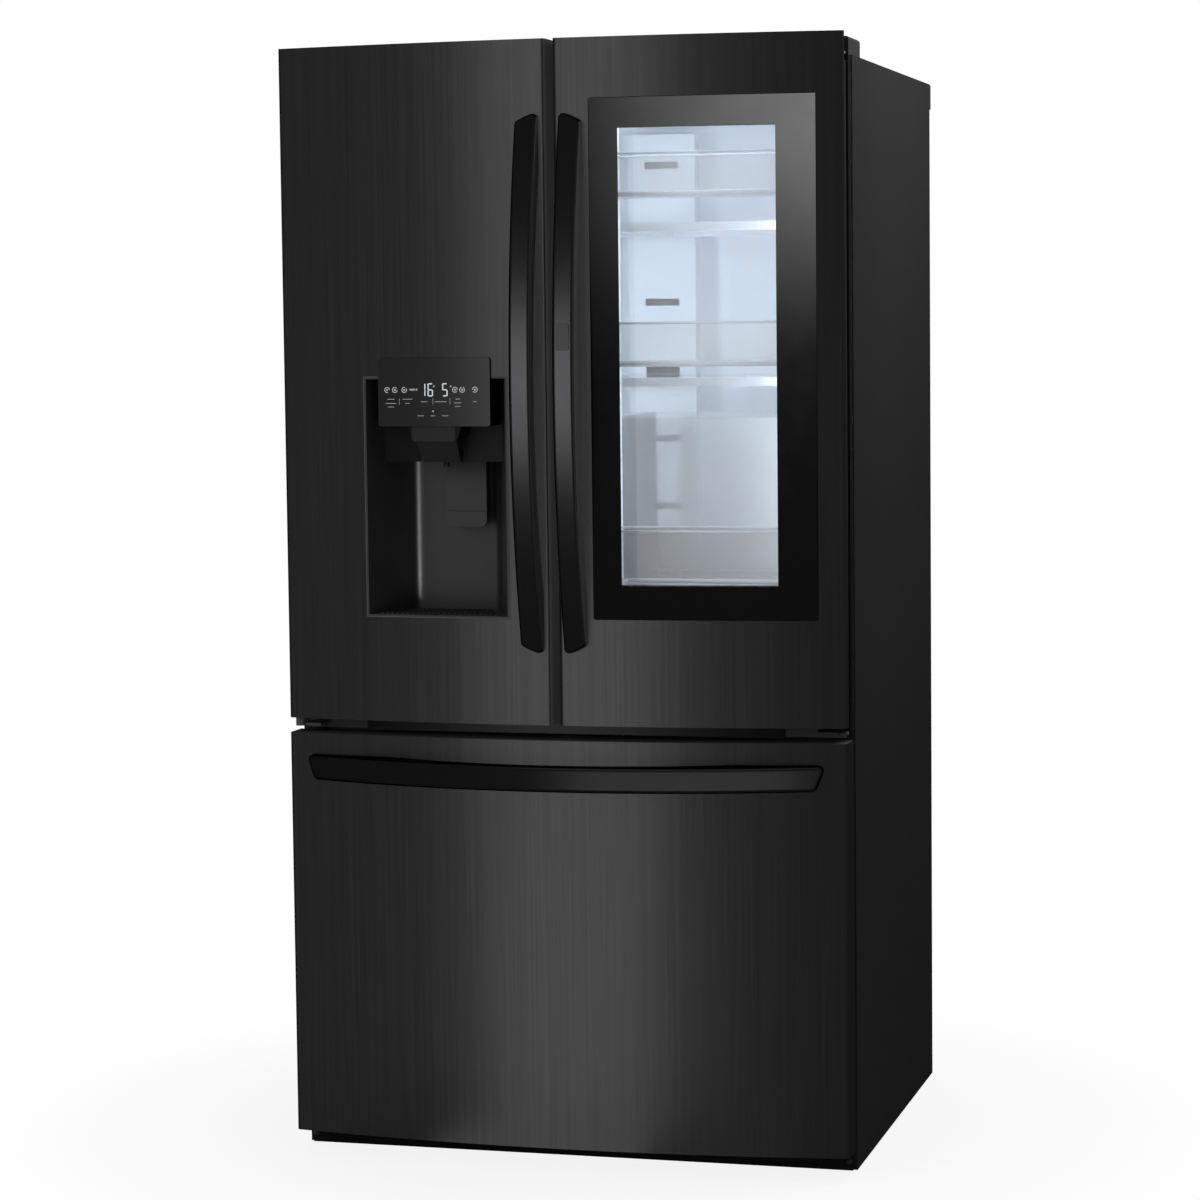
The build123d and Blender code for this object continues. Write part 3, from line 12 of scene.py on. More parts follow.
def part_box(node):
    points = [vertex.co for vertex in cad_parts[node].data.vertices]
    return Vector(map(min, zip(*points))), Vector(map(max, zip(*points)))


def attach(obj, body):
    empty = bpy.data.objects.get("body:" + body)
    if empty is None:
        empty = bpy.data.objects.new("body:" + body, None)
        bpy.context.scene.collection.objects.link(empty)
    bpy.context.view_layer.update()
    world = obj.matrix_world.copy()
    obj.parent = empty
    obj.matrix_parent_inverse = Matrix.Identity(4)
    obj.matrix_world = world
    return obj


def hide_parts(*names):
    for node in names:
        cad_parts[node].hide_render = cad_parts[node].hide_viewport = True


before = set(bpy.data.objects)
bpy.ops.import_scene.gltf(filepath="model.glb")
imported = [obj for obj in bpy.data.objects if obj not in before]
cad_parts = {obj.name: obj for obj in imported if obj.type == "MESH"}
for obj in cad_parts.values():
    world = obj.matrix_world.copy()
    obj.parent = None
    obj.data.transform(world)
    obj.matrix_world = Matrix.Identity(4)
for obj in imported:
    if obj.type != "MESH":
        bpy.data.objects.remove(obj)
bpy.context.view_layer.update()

bl_info = {
    "name": "French Door Refrigerator",
    "version": (1, 0, 0),
    "blender": (4, 5, 0),
    "location": "View3D > Sidebar > Refrigerator",
    "description": "Finishes, seals, display, screws and stage of a french door refrigerator",
    "category": "Object",
}

# Points of a piece nearer than this are one, and edges that turn further than this stay sharp
MERGE_DISTANCE = 1e-7
SHARP_ANGLE = math.radians(40.0)
# Points along a quarter of the printed border
BORDER_STEPS = 40
# Corners of a rectangle as signs along its two directions, in order round it
CORNERS = np.array([[-1.0, -1.0], [1.0, -1.0], [1.0, 1.0], [-1.0, 1.0]])

# Nodes and pieces that several steps name together
FRONT_SKINS = ("left_door_skin", "right_door_skin", "drawer_skin")
UPRIGHT_BARS = ("left_door_handle", "right_door_handle")
RIGHT_DOOR = (
    "right_door_skin", "right_door_core", "right_door_caps", "window_glass", "window_frame",
    "border_print", "did_seal", "inner_door_frame", "inner_door_bins", "bin_rims",
)
# Node, body and width in metres of each seal
SEALS = (
    ("left_door_gasket", "left_door", 0.020),
    ("inner_door_gasket", "right_inner_door", 0.020),
    ("did_gasket", "right_outer_door", 0.014),
    ("drawer_gasket", "freezer_drawer", 0.020),
)

# Roughness, grain scale and bump strength of the painted and moulded finishes
GRAINS = {
    "case_paint": (0.62, 620.0, 0.35),
    "back_sheet_paint": (0.55, 300.0, 0.2),
    "cap_plastic": (0.5, 900.0, 0.2),
    "flap_plastic": (0.5, 700.0, 0.2),
    "bracket_paint": (0.40, 500.0, 0.12),
    "foam": (0.9, 250.0, 0.6),
    "roller_plastic": (0.45, 500.0, 0.2),
    "niche_plastic": (0.38, 1200.0, 0.02),
    "paddle_plastic": (0.40, 900.0, 0.15),
    "rim_plastic": (0.35, 900.0, 0.05),
    "grille_plastic": (0.40, 900.0, 0.15),
    "window_frame_black": (0.6, 900.0, 0.02),
    "border_ink": (0.12, 900.0, 0.0),
    "core_plastic": (0.5, 700.0, 0.15),
    "liner_plastic": (0.34, 500.0, 0.06),
    "shelf_plastic": (0.3, 700.0, 0.05),
    "basket_plastic": (0.4, 500.0, 0.1),
    "seal_rubber": (0.62, 600.0, 0.2),
    "machine_paint": (0.36, 420.0, 0.2),
    "fan_plastic": (0.5, 700.0, 0.15),
    "valve_plastic": (0.45, 700.0, 0.15),
}
# Roughness of the metal finishes, and how often their brush lines change along x, y and z
BRUSHES = {
    "front_steel": (0.33, (280.0, 280.0, 2.0)),
    "upright_handle_steel": (0.30, (700.0, 700.0, 8.0)),
    "level_handle_steel": (0.28, (8.0, 700.0, 700.0)),
    "button_steel": (0.34, (700.0, 8.0, 700.0)),
    "panel_metal": (0.31, (900.0, 900.0, 900.0)),
    "zinc_plate": (0.38, (120.0, 160.0, 140.0)),
    "rail_steel": (0.34, (12.0, 6.0, 400.0)),
    "fin_metal": (0.40, (300.0, 20.0, 20.0)),
    "screw_steel": (0.35, (200.0, 200.0, 200.0)),
}
# Tint of dark coated steel at grazing angles
DARK_GRAZING = 0.05

# Segments of a seven-segment figure, lettered clockwise from the top with g in the middle
SEGMENTS = {"1": "bc", "5": "acdfg", "6": "acdefg"}
# Places on the control panel are in millimetres, across and down from its top left corner
SIGN_LINE = 49.5
# Figures and their left edges, their middle on the line of the signs
FIGURES = (("16", 71.5), ("5", 108.5))
# Place across of a round sign, and the start and end of its ring in turns
ROUND_SIGNS = (
    (15.5, 0.0, 0.8), (28.5, 0.1, 1.0), (44.5, 0.2, 1.1),
    (129.5, 0.0, 0.9), (141.5, 0.3, 1.2), (162.5, 0.6, 1.5),
)
WAVE_SIGNS = ((56.0, 52.0), (60.5, 52.0))
DOTS = ((65.5, 49.0), (92.5, 83.0), (94.5, 44.0), (122.5, 44.0))
# Middle of a label across and down, and its width
LABELS = (
    (22.0, 64.0, 13.0), (22.0, 70.5, 19.0), (22.0, 76.0, 12.0), (50.0, 64.0, 17.0), (50.0, 70.5, 9.0),
    (78.0, 68.0, 11.0), (106.0, 68.0, 20.0), (134.0, 64.0, 9.0), (134.0, 70.0, 13.0), (134.0, 75.5, 10.0),
    (162.5, 68.0, 7.0), (72.0, 90.0, 11.0), (92.5, 90.0, 9.0), (113.0, 90.0, 12.0),
)
# Places across of the upright dividers, and their top, bottom and half width
DIVIDERS = (36.0, 92.5, 121.0)
DIVIDER_TOP, DIVIDER_BOTTOM, DIVIDER_HALF = 62.5, 72.5, 0.2

# Place, target, width and height of each light, in metres
LIGHTS = {
    "key": ((-2.4, -4.6, 3.0), (0.0, -0.3, 0.9), 2.8, 2.8),
    "top": ((0.4, -1.6, 4.4), (0.0, 0.0, 0.9), 4.0, 2.6),
    "side": ((1.205, 0.05, 2.40), (0.45, 0.05, 1.5), 1.0, 0.8),
    "rear": ((-1.0, 4.6, 2.6), (0.0, 0.4, 0.9), 3.0, 2.6),
    "inside_fill_left": ((-0.395, -0.10, 1.22), (0.0, 0.25, 1.22), 0.12, 0.86),
    "inside_fill_right": ((0.395, -0.10, 1.22), (0.0, 0.25, 1.22), 0.12, 0.86),
    "tunnel_fill": ((0.228, -0.26, 1.674), (0.228, -0.26, 0.8), 0.3, 0.08),
    "gap_fill": ((0.6, -1.0, 1.24), (0.0, -0.36, 1.24), 0.1, 1.2),
    "handle_card": ((-0.34, -1.65, 1.22), (-0.34, 0.0, 1.22), 0.5, 0.58),
    "handle_side": ((2.8, -1.45, 1.24), (0.0, -0.42, 1.24), 2.2, 2.4),
    "drawer_card": ((0.40, -1.45, 0.48), (0.40, 0.0, 0.48), 1.2, 0.3),
    "drawer_top_card": ((0.2, -1.3, 2.0), (0.1, -0.44, 0.64), 1.6, 1.0),
    "rail_fill": ((-0.02, -0.53, 0.71), (-0.02, -0.28, 0.69), 0.12, 0.03),
    "hinge_fill": ((0.55, -3.0, 1.02), (0.0, -0.28, 0.69), 1.4, 0.3),
    "niche_card": ((1.885, -2.76, 0.34), (-0.28, -0.27, 0.90), 1.3, 0.68),
    "pane_card": ((-0.05, -5.0, 1.65), (-0.05, -0.4, 1.65), 2.4, 1.1),
}


def colour(name, description, value):
    """Colour property in linear light."""
    return bpy.props.FloatVectorProperty(
        name=name, description=description, default=value, size=3, subtype="COLOR", min=0.0, max=1.0
    )


def length(name, description, value):
    """Length property in metres."""
    return bpy.props.FloatProperty(
        name=name, description=description, default=value, min=0.0, unit="LENGTH", precision=5
    )


def number(name, description, value):
    """Plain number property."""
    return bpy.props.FloatProperty(name=name, description=description, default=value, min=0.0)


def power(name, description, value):
    """Power property of a light, in watts."""
    return bpy.props.FloatProperty(
        name=name, description=f"Power of the {description}", default=value, min=0.0, unit="POWER"
    )


def angle(name, description, degrees):
    """Angle property in radians."""
    return bpy.props.FloatProperty(
        name=name, description=description, default=math.radians(degrees), unit="ROTATION"
    )


class FridgeColours(bpy.types.PropertyGroup):
    """Colours of the finishes."""

    steel: colour("Front steel", "Dark brushed steel of the doors and drawer", (0.0112, 0.0112, 0.0115))
    returns: colour("Folded edges", "Matt folded edges of the steel fronts", (0.0115, 0.0115, 0.0115))
    handle: colour("Handle steel", "Satin bar handles", (0.0058, 0.0058, 0.0060))
    # Lighter than the handle steel: a painted highlight that stands for the lit front of the bar
    bar_sides_painted_highlight: colour("Handle sides", "Matt sides of the upright handles", (0.050, 0.050, 0.050))
    paint: colour("Case paint", "Textured paint of the case", (0.0154, 0.0154, 0.0156))
    plastic: colour("Dark plastic", "Moulded caps and covers", (0.0070, 0.0070, 0.0072))
    niche: colour("Niche plastic", "Gloss plastic of the dispenser", (0.0100, 0.0100, 0.0102))
    trim: colour("Trim", "Paddle, niche rim and ground of the display marks", (0.0230, 0.0230, 0.0234))
    print: colour("Window print", "Black printed border of the front pane", (0.0006, 0.0006, 0.0006))
    frame_black: colour("Window frame", "Black frame behind the front pane", (0.0018, 0.0018, 0.0018))
    liner: colour("Liner", "White liner plastic", (0.78, 0.81, 0.86))
    foam: colour("Foam", "Poured insulation", (0.72, 0.60, 0.34))
    seal: colour("Seal", "Soft door seals", (0.055, 0.055, 0.058))
    zinc: colour("Zinc plate", "Plated brackets and rails", (0.50, 0.51, 0.52))
    fins: colour("Fins", "Mill aluminium fins", (0.66, 0.67, 0.68))
    machine: colour("Machine black", "Painted compressor and brackets", (0.012, 0.012, 0.012))
    roller: colour("Roller", "Hard roller plastic", (0.05, 0.05, 0.05))
    light: colour("Lamp light", "Light of the inside lamps", (0.86, 0.93, 1.0))
    marks: colour("Display marks", "Lit figures and signs of the panel", (0.80, 0.82, 0.84))


class FridgeSizes(bpy.types.PropertyGroup):
    """Sizes of the small pieces."""

    chute_width: length("Chute width", "Width of the chute under the panel", 0.0722)
    niche_wall: length("Niche wall", "Wall of the moulded niche", 0.0025)
    fold: length("Fold", "Depth behind the bowed face at which its folded edges start", 0.0015)
    tone_slack: length("Tone slack", "How far a back colour reaches round its edge", 0.00005)
    # Reach of the painted highlight on the handles' sides
    bar_side: length("Handle side", "Reach of the matt sides of the upright handles", 0.0008)
    print_lift: length("Print lift", "How far the printed border stands over the pane", 0.00015)
    print_left: length("Print left", "Width of the printed border at the left", 0.0450)
    print_right: length("Print right", "Width of the printed border at the right", 0.0605)
    print_top: length("Print top", "Height of the printed border at the top", 0.0455)
    print_bottom: length("Print bottom", "Height of the printed border at the bottom", 0.0515)
    front_bow: length("Front bow", "Depth of the bow across the whole front", 0.036)
    panel_proud: length("Panel proud", "How far the panel stands before the door", 0.005)
    mark_lift: length("Mark lift", "Thickness of a printed mark", 0.00025)
    figure_height: length("Figure height", "Height of a display figure", 0.0205)
    figure_width: length("Figure width", "Width of a display figure", 0.0088)
    figure_stroke: length("Figure stroke", "Stroke of a display figure", 0.0017)
    label_height: length("Label height", "Height of the small bars of a label", 0.0010)
    sign_radius: length("Sign radius", "Radius of a round sign", 0.0046)
    rim_width: length("Niche rim", "Width of the thin rim of the niche", 0.0018)
    rim_depth: length("Niche rim depth", "Height of that rim over the door", 0.0008)
    seal_clearance: length("Seal clearance", "Room left behind a seal", 0.0002)
    screw_radius: length("Screw radius", "Radius of a screw head", 0.0048)
    screw_height: length("Screw height", "Height of a screw head", 0.0026)
    bead_height: length("Bead height", "Height of the pressed beads of the back", 0.0045)
    hood_depth: length("Louvre hood", "Depth of the hoods over the louvres", 0.007)
    sheet: length("Sheet", "Thickness of formed sheet pieces", 0.0010)
    lamp_setback: length("Side lamp setback", "Depth of those lamps behind the case's front", 0.150)
    lamp_width: length("Side lamp width", "Width of the lamps on the side walls", 0.016)
    bin_foot: length("Bin foot", "Thickness of the beads round the floors of the bins", 0.0085)
    bin_rim: length("Bin rim", "Thickness of the rolled rims of the bins", 0.0036)
    grille_pitch: length("Grille pitch", "Pitch of the ribs of the drip grille", 0.0085)
    grille_height: length("Grille height", "Height of those ribs", 0.0030)


class FridgeStage(bpy.types.PropertyGroup):
    """Camera and light."""

    azimuth: angle("Azimuth", "Turn of the camera to the right of the front", 15.102)
    elevation: angle("Elevation", "Angle of the camera above the horizon", 4.698)
    roll: angle("Roll", "Turn of the camera about its own line", -0.639)
    lens: bpy.props.FloatProperty(
        name="Lens", description="Focal length in millimetres", default=101.958, min=1.0, unit="CAMERA"
    )
    place: bpy.props.FloatVectorProperty(
        name="Camera place", description="Where the camera stands", size=3,
        default=(1.4393, -5.4495, 1.3392), subtype="TRANSLATION", unit="LENGTH",
    )
    key_light: power("Key light", "wide light at the front left", 120.0)
    top_light: power("Top light", "wide light above", 60.0)
    side_light: power("Side light", "light high at the right", 42.0)
    rear_light: power("Rear light", "light behind", 90.0)
    fill_light: power("Inside fill", "light at each inside wall", 3.5)
    tunnel_light: power("Tunnel light", "light above the bins", 0.35)
    front_glow: power("Front glow", "strip that the steel front mirrors", 22.6)
    wash_glow: power("Wash glow", "wide card that the front's left side mirrors", 6.0)
    edge_glow: power("Edge glow", "narrow card that the front's right side mirrors", 1.5)
    handle_shade: number("Handle shade", "Share of the front glow that the upright handles hide", 0.5)
    gap_light: power("Gap light", "light into the gap between the doors", 25.0)
    rail_light: power("Rail light", "light into the gap above the drawer", 0.9)
    hinge_light: power("Hinge light", "light on the middle hinges", 11.0)
    handle_glow: power("Handle glow", "card that the door handles mirror", 23.0)
    side_glow: power("Side glow", "card that the handles' right edges mirror", 50.0)
    drawer_glow: power("Drawer glow", "card that the drawer's handle mirrors", 7.4)
    drawer_top_glow: power("Drawer top glow", "card that the drawer handle's top mirrors", 12.0)
    niche_glow: power("Niche glow", "card that the niche's corner mirrors", 88.0)
    pane_glow: power("Pane glow", "soft card that the window's border mirrors", 514.0)
    world_level: number("World level", "Light of the surroundings on matt surfaces", 0.30)
    inside_light: number("Inside light", "Strength of the lamps inside", 2.0)
    figure_light: number("Figure light", "Strength of the lit figures", 0.8)
    mark_light: number("Mark light", "Strength of the lit signs and labels", 0.42)


# Shader nodes


def add_node(tree, kind, values=None, **settings):
    """New shader node of a kind with its settings, and with plain values on its named inputs."""
    node = tree.nodes.new("ShaderNode" + kind)
    for label, value in settings.items():
        setattr(node, label, value)
    for label, value in (values or {}).items():
        node.inputs[label].default_value = value
    return node


def find_node(tree, kind):
    """The first node of a kind."""
    return next(node for node in tree.nodes if node.type == kind)


def feed(node, label, source):
    """Links a socket to an input of a node."""
    node.id_data.links.new(source, node.inputs[label])


def math_node(tree, operation, first, second):
    """Math node of two values, each a socket or a number."""
    node = add_node(tree, "Math", operation=operation)
    for index, value in enumerate((first, second)):
        if isinstance(value, (int, float)):
            node.inputs[index].default_value = value
        else:
            feed(node, index, value)
    return node.outputs[0]


def merged(tree, operation, values):
    """One value from several, by a math operation on each in turn."""
    return functools.reduce(functools.partial(math_node, tree, operation), values)


def weighted(tree, first, second, share):
    """Mean of two values in which the first has a share of the weight."""
    parts = math_node(tree, "MULTIPLY", first, share), math_node(tree, "MULTIPLY", second, 1.0 - share)
    return math_node(tree, "ADD", *parts)


def ranged(tree, value, low, high):
    """Spreads a value of 0 to 1 between two numbers."""
    node = add_node(tree, "MapRange", {"To Min": low, "To Max": high})
    feed(node, "Value", value)
    return node.outputs["Result"]


def split(tree, vector):
    """The three numbers of a vector, as sockets."""
    axes = add_node(tree, "SeparateXYZ")
    feed(axes, 0, vector)
    return axes.outputs


def vector_length(tree, vector):
    """Length of a vector."""
    node = add_node(tree, "VectorMath", operation="LENGTH")
    feed(node, 0, vector)
    return node.outputs["Value"]


def between(tree, value, low, high):
    """1 where a value lies between two numbers, else 0."""
    above = math_node(tree, "GREATER_THAN", value, low)
    below = math_node(tree, "LESS_THAN", value, high)
    return math_node(tree, "MULTIPLY", above, below)


def within(tree, place, low, high):
    """1 inside a box given by two corners, else 0; a span of no width on an axis leaves that axis free."""
    axes = split(tree, place)
    bound = [axis for axis in range(3) if high[axis] > low[axis]]
    return merged(tree, "MULTIPLY", [between(tree, axes[axis], low[axis], high[axis]) for axis in bound])


def plainly_seen(tree):
    """1 for rays of the camera, off mirrors and through glass, else 0."""
    path = add_node(tree, "LightPath").outputs
    rays = [path[f"Is {kind} Ray"] for kind in ("Camera", "Glossy", "Transmission")]
    return merged(tree, "MAXIMUM", rays)


# Shader groups


def new_group(name, output, inputs=()):
    """Shader group that reads a vector and inputs of (name, type, default), and puts out one value."""
    group = bpy.data.node_groups.new(name, "ShaderNodeTree")
    sockets = group.interface
    sockets.new_socket(name="Vector", in_out="INPUT", socket_type="NodeSocketVector")
    for label, kind, value in inputs:
        sockets.new_socket(name=label, in_out="INPUT", socket_type=kind).default_value = value
    sockets.new_socket(name=output, in_out="OUTPUT", socket_type="NodeSocketFloat")
    return group, group.nodes.new("NodeGroupInput").outputs, group.nodes.new("NodeGroupOutput")


def scaled_noise(group, vector, scale, detail):
    """Noise texture inside a group, read at a vector."""
    noise = add_node(group, "TexNoise", {"Scale": scale, "Detail": detail})
    feed(noise, "Vector", vector)
    return noise.outputs["Fac"]


def brushed_lines():
    """Lines of a brushed finish: noise drawn out along one axis by an uneven scale, at two widths."""
    stretch = ("Stretch", "NodeSocketVector", (1.0, 1.0, 1.0))
    group, start, end = new_group("brushed_lines", "Line", [stretch])
    drawn = add_node(group, "VectorMath", operation="MULTIPLY")
    feed(drawn, 0, start["Vector"])
    feed(drawn, 1, start["Stretch"])
    wide = scaled_noise(group, drawn.outputs[0], scale=1.0, detail=3.0)
    fine = scaled_noise(group, drawn.outputs[0], scale=3.7, detail=2.0)
    feed(end, "Line", weighted(group, wide, fine, share=0.6))
    return group


def moulded_grain():
    """Pebbled grain of paint and moulded plastic: soft cells broken up by noise."""
    group, start, end = new_group("moulded_grain", "Grain", [("Scale", "NodeSocketFloat", 400.0)])
    cells = add_node(group, "TexVoronoi", feature="SMOOTH_F1")
    noise = add_node(group, "TexNoise", {"Detail": 2.0})
    for texture in (cells, noise):
        feed(texture, "Vector", start["Vector"])
        feed(texture, "Scale", start["Scale"])
    feed(end, "Grain", math_node(group, "MULTIPLY", cells.outputs["Distance"], noise.outputs["Fac"]))
    return group


def handling_marks():
    """Broad uneven tone of a used surface: two sizes of soft noise, spread over the whole range."""
    group, start, end = new_group("handling_marks", "Tone")
    broad = scaled_noise(group, start["Vector"], scale=3.0, detail=2.0)
    small = scaled_noise(group, start["Vector"], scale=22.0, detail=3.0)
    whole = add_node(group, "MapRange", {"From Min": 0.32, "From Max": 0.68})
    feed(whole, "Value", weighted(group, broad, small, share=0.65))
    feed(end, "Tone", whole.outputs["Result"])
    return group


GROUP_MAKERS = {maker.__name__: maker for maker in (brushed_lines, moulded_grain, handling_marks)}


def place_group(tree, name, vector, **values):
    """Value of a shader group, made on its first use and placed in a material with its own inputs."""
    group = bpy.data.node_groups.get(name) or GROUP_MAKERS[name]()
    node = add_node(tree, "Group", values, node_tree=group)
    feed(node, "Vector", vector)
    return node.outputs[0]


# Materials


def shaded(base, factor):
    """A colour made darker or lighter by a factor."""
    return [part * factor for part in base]


def new_material(name):
    """Empty material with a Principled shader, its output and Object coordinates."""
    material = bpy.data.materials.new(name)
    material.use_nodes = True
    tree = material.node_tree
    tree.nodes.clear()
    output = add_node(tree, "OutputMaterial")
    shader = add_node(tree, "BsdfPrincipled")
    feed(output, "Surface", shader.outputs[0])
    return material, tree, shader, add_node(tree, "TexCoord").outputs["Object"]


def object_place(tree):
    """Object coordinates of a material."""
    return find_node(tree, "TEX_COORD").outputs["Object"]


def marked_material(name):
    """New material with its tree, its shader and the value of its handling marks."""
    material, tree, shader, place = new_material(name)
    return material, tree, shader, place_group(tree, "handling_marks", place)


def toned(tree, factor, base, spread):
    """Mix between a darker and a lighter tone of one colour."""
    dark = (*shaded(base, 1.0 - spread), 1.0)
    pale = (*[min(part, 1.0) for part in shaded(base, 1.0 + spread)], 1.0)
    mix = add_node(tree, "Mix", {"A": dark, "B": pale}, data_type="RGBA")
    feed(mix, "Factor", factor)
    return mix.outputs["Result"]


def add_bump(tree, shader, height, distance, strength):
    """Feeds a height to the shader's normal through a bump."""
    bump = add_node(tree, "Bump", {"Distance": distance, "Strength": strength})
    feed(bump, "Height", height)
    feed(shader, "Normal", bump.outputs["Normal"])


def add_grain(tree, shader, scale, distance, strength):
    """Feeds the moulded grain to the shader's normal."""
    grain = place_group(tree, "moulded_grain", object_place(tree), Scale=scale)
    add_bump(tree, shader, grain, distance, strength)


def mix_to_output(tree, shader, other, factor):
    """Sends a mix of two shaders to the material's output."""
    mix = add_node(tree, "MixShader")
    feed(mix, "Fac", factor)
    feed(mix, 1, shader.outputs[0])
    feed(mix, 2, other.outputs[0])
    feed(find_node(tree, "OUTPUT_MATERIAL"), "Surface", mix.outputs[0])


def brushed_metal(name, base, tone=0.16, grazing=1.0):
    """Brushed metal: line noise in the tone, roughness and height, broad marks in the roughness.

    The grazing tint keeps a dark coated metal dark where it is seen at a flat angle.
    """
    roughness, stretch = BRUSHES[name]
    by_marks = 0.025
    by_lines = 0.04
    material, tree, shader, marks = marked_material(name)
    line = place_group(tree, "brushed_lines", object_place(tree), Stretch=stretch)
    feed(shader, "Base Color", toned(tree, line, base, tone))
    soft = ranged(tree, marks, roughness - by_marks, roughness + by_marks)
    feed(shader, "Roughness", math_node(tree, "ADD", soft, ranged(tree, line, -by_lines, by_lines)))
    shader.inputs["Metallic"].default_value = 1.0
    shader.inputs["Specular Tint"].default_value = (grazing, grazing, grazing, 1.0)
    add_bump(tree, shader, line, distance=0.00004, strength=0.12)
    return material


def masked(tree, shader, label, mask, value):
    """Puts a plain colour or number on a linked socket of the shader wherever the mask is 1."""
    socket = shader.inputs[label]
    kind = "RGBA" if socket.type == "RGBA" else "FLOAT"
    mix = add_node(tree, "Mix", {"B": value}, data_type=kind)
    feed(mix, "Factor", mask)
    feed(mix, "A", socket.links[0].from_socket)
    feed(shader, label, mix.outputs["Result"])


def turn_matt(tree, mask, matt):
    """Turns brushed metal into matt paint wherever the mask is 1."""
    matt_roughness = 0.7
    shader = find_node(tree, "BSDF_PRINCIPLED")
    masked(tree, shader, "Base Color", mask, (*matt, 1.0))
    masked(tree, shader, "Roughness", mask, matt_roughness)
    feed(shader, "Metallic", math_node(tree, "SUBTRACT", 1.0, mask))
    shader.inputs["Specular IOR Level"].default_value = 0.0


def matt_returns(material, front, fold, matt):
    """Turns the folded edges behind a bowed face matt, by their distance from the axis of the bow."""
    tree = material.node_tree
    level = add_node(tree, "VectorMath", operation="MULTIPLY_ADD")
    level.inputs[1].default_value = (1.0, 1.0, 0.0)
    level.inputs[2].default_value = (0.0, -front.axis_y, 0.0)
    feed(level, 0, object_place(tree))
    reach = vector_length(tree, level.outputs[0])
    turn_matt(tree, math_node(tree, "LESS_THAN", reach, front.radius - fold), matt)


def matt_sides_painted_highlight(material, nodes, edge, matt):
    """Turns the upright sides of bars matt in a lighter colour, a painted highlight, by their distance from
    the left and right of each bar's box.
    """
    tree = material.node_tree
    x = split(tree, object_place(tree))["X"]
    sides = [corner.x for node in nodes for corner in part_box(node)]
    spans = [between(tree, x, side - edge, side + edge) for side in sides]
    turn_matt(tree, merged(tree, "MAXIMUM", spans), matt)


def grained(name, base, tone=0.05, specular=0.12, distance=0.0002):
    """Paint or moulded plastic: pebbled grain in the height, broad marks in tone and roughness."""
    roughness, scale, bump = GRAINS[name]
    by_marks = 0.05
    material, tree, shader, marks = marked_material(name)
    feed(shader, "Base Color", toned(tree, marks, base, tone))
    feed(shader, "Roughness", ranged(tree, marks, roughness - by_marks, roughness + by_marks))
    shader.inputs["Specular IOR Level"].default_value = specular
    add_grain(tree, shader, scale, distance, bump)
    return material


def clear(name, tint, specular=0.5):
    """Clear glass that lets the lamps through, with faint handling marks in its gloss."""
    material, tree, shader, marks = marked_material(name)
    smudged = 0.03
    feed(shader, "Roughness", ranged(tree, marks, 0.0, smudged))
    feed(shader, "Base Color", toned(tree, marks, tint, 0.01))
    shader.inputs["Transmission Weight"].default_value = 1.0
    shader.inputs["IOR"].default_value = 1.45
    shader.inputs["Specular IOR Level"].default_value = specular
    through = add_node(tree, "BsdfTransparent", {"Color": (*tint, 1.0)})
    mix_to_output(tree, shader, through, add_node(tree, "LightPath").outputs["Is Shadow Ray"])
    return material


def hazy(name, tint, film, roughness):
    """Clear moulded plastic as a thin pale film, so that what lies behind many walls still shows."""
    material, tree, shader, marks = marked_material(name)
    feed(shader, "Base Color", toned(tree, marks, tint, 0.02))
    smudged = roughness + 0.06
    feed(shader, "Roughness", ranged(tree, marks, roughness, smudged))
    shader.inputs["Alpha"].default_value = film
    return material


def lit(name, light, strength, base):
    """Lit lens or mark: glow of one colour, a little uneven over its length."""
    material, tree, shader, marks = marked_material(name)
    feed(shader, "Emission Color", toned(tree, marks, light, 0.03))
    feed(shader, "Base Color", toned(tree, marks, base, 0.03))
    shader.inputs["Emission Strength"].default_value = strength
    shader.inputs["Roughness"].default_value = 0.4
    return material


def two_tone(name, inside, outside, low, high, roughness, back=None, specular=0.0):
    """Moulded piece in two colours: one inside a box and beyond a y, if given, the other elsewhere."""
    by_marks = 0.04
    material, tree, shader, marks = marked_material(name)
    place = object_place(tree)
    span = within(tree, place, low, high)
    if back is not None:
        beyond = math_node(tree, "GREATER_THAN", split(tree, place)["Y"], back)
        span = math_node(tree, "MAXIMUM", span, beyond)
    mix = add_node(tree, "Mix", data_type="RGBA")
    feed(mix, "Factor", span)
    feed(mix, "A", toned(tree, marks, outside, 0.06))
    feed(mix, "B", toned(tree, marks, inside, 0.02))
    feed(shader, "Base Color", mix.outputs["Result"])
    feed(shader, "Roughness", ranged(tree, marks, roughness - by_marks, roughness + by_marks))
    shader.inputs["Specular IOR Level"].default_value = specular
    add_grain(tree, shader, scale=700.0, distance=0.0001, strength=0.10)
    return material


def dress(material, *nodes):
    """Puts a material on CAD nodes."""
    for node in nodes:
        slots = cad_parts[node].data.materials
        slots.clear()
        slots.append(material)


# Surfaces


def spread(low, high, steps):
    """Even steps between two numbers."""
    return np.linspace(low, high, steps)


def points_at(x, y, z):
    """Grid of points from three grids or numbers, each spread to the size of the largest."""
    return np.stack(np.broadcast_arrays(x, y, z), axis=-1)


def grid_faces(rows, columns, close_rows=False, close_columns=False):
    """Quads of a grid of points; a closed direction joins its end to its start."""
    row, column = np.meshgrid(
        np.arange(rows if close_rows else rows - 1),
        np.arange(columns if close_columns else columns - 1),
        indexing="ij",
    )
    next_row = (row + 1) % rows
    next_column = (column + 1) % columns
    corners = [
        row * columns + column,
        next_row * columns + column,
        next_row * columns + next_column,
        row * columns + next_column,
    ]
    return np.stack(corners, axis=-1).reshape(-1, 4)


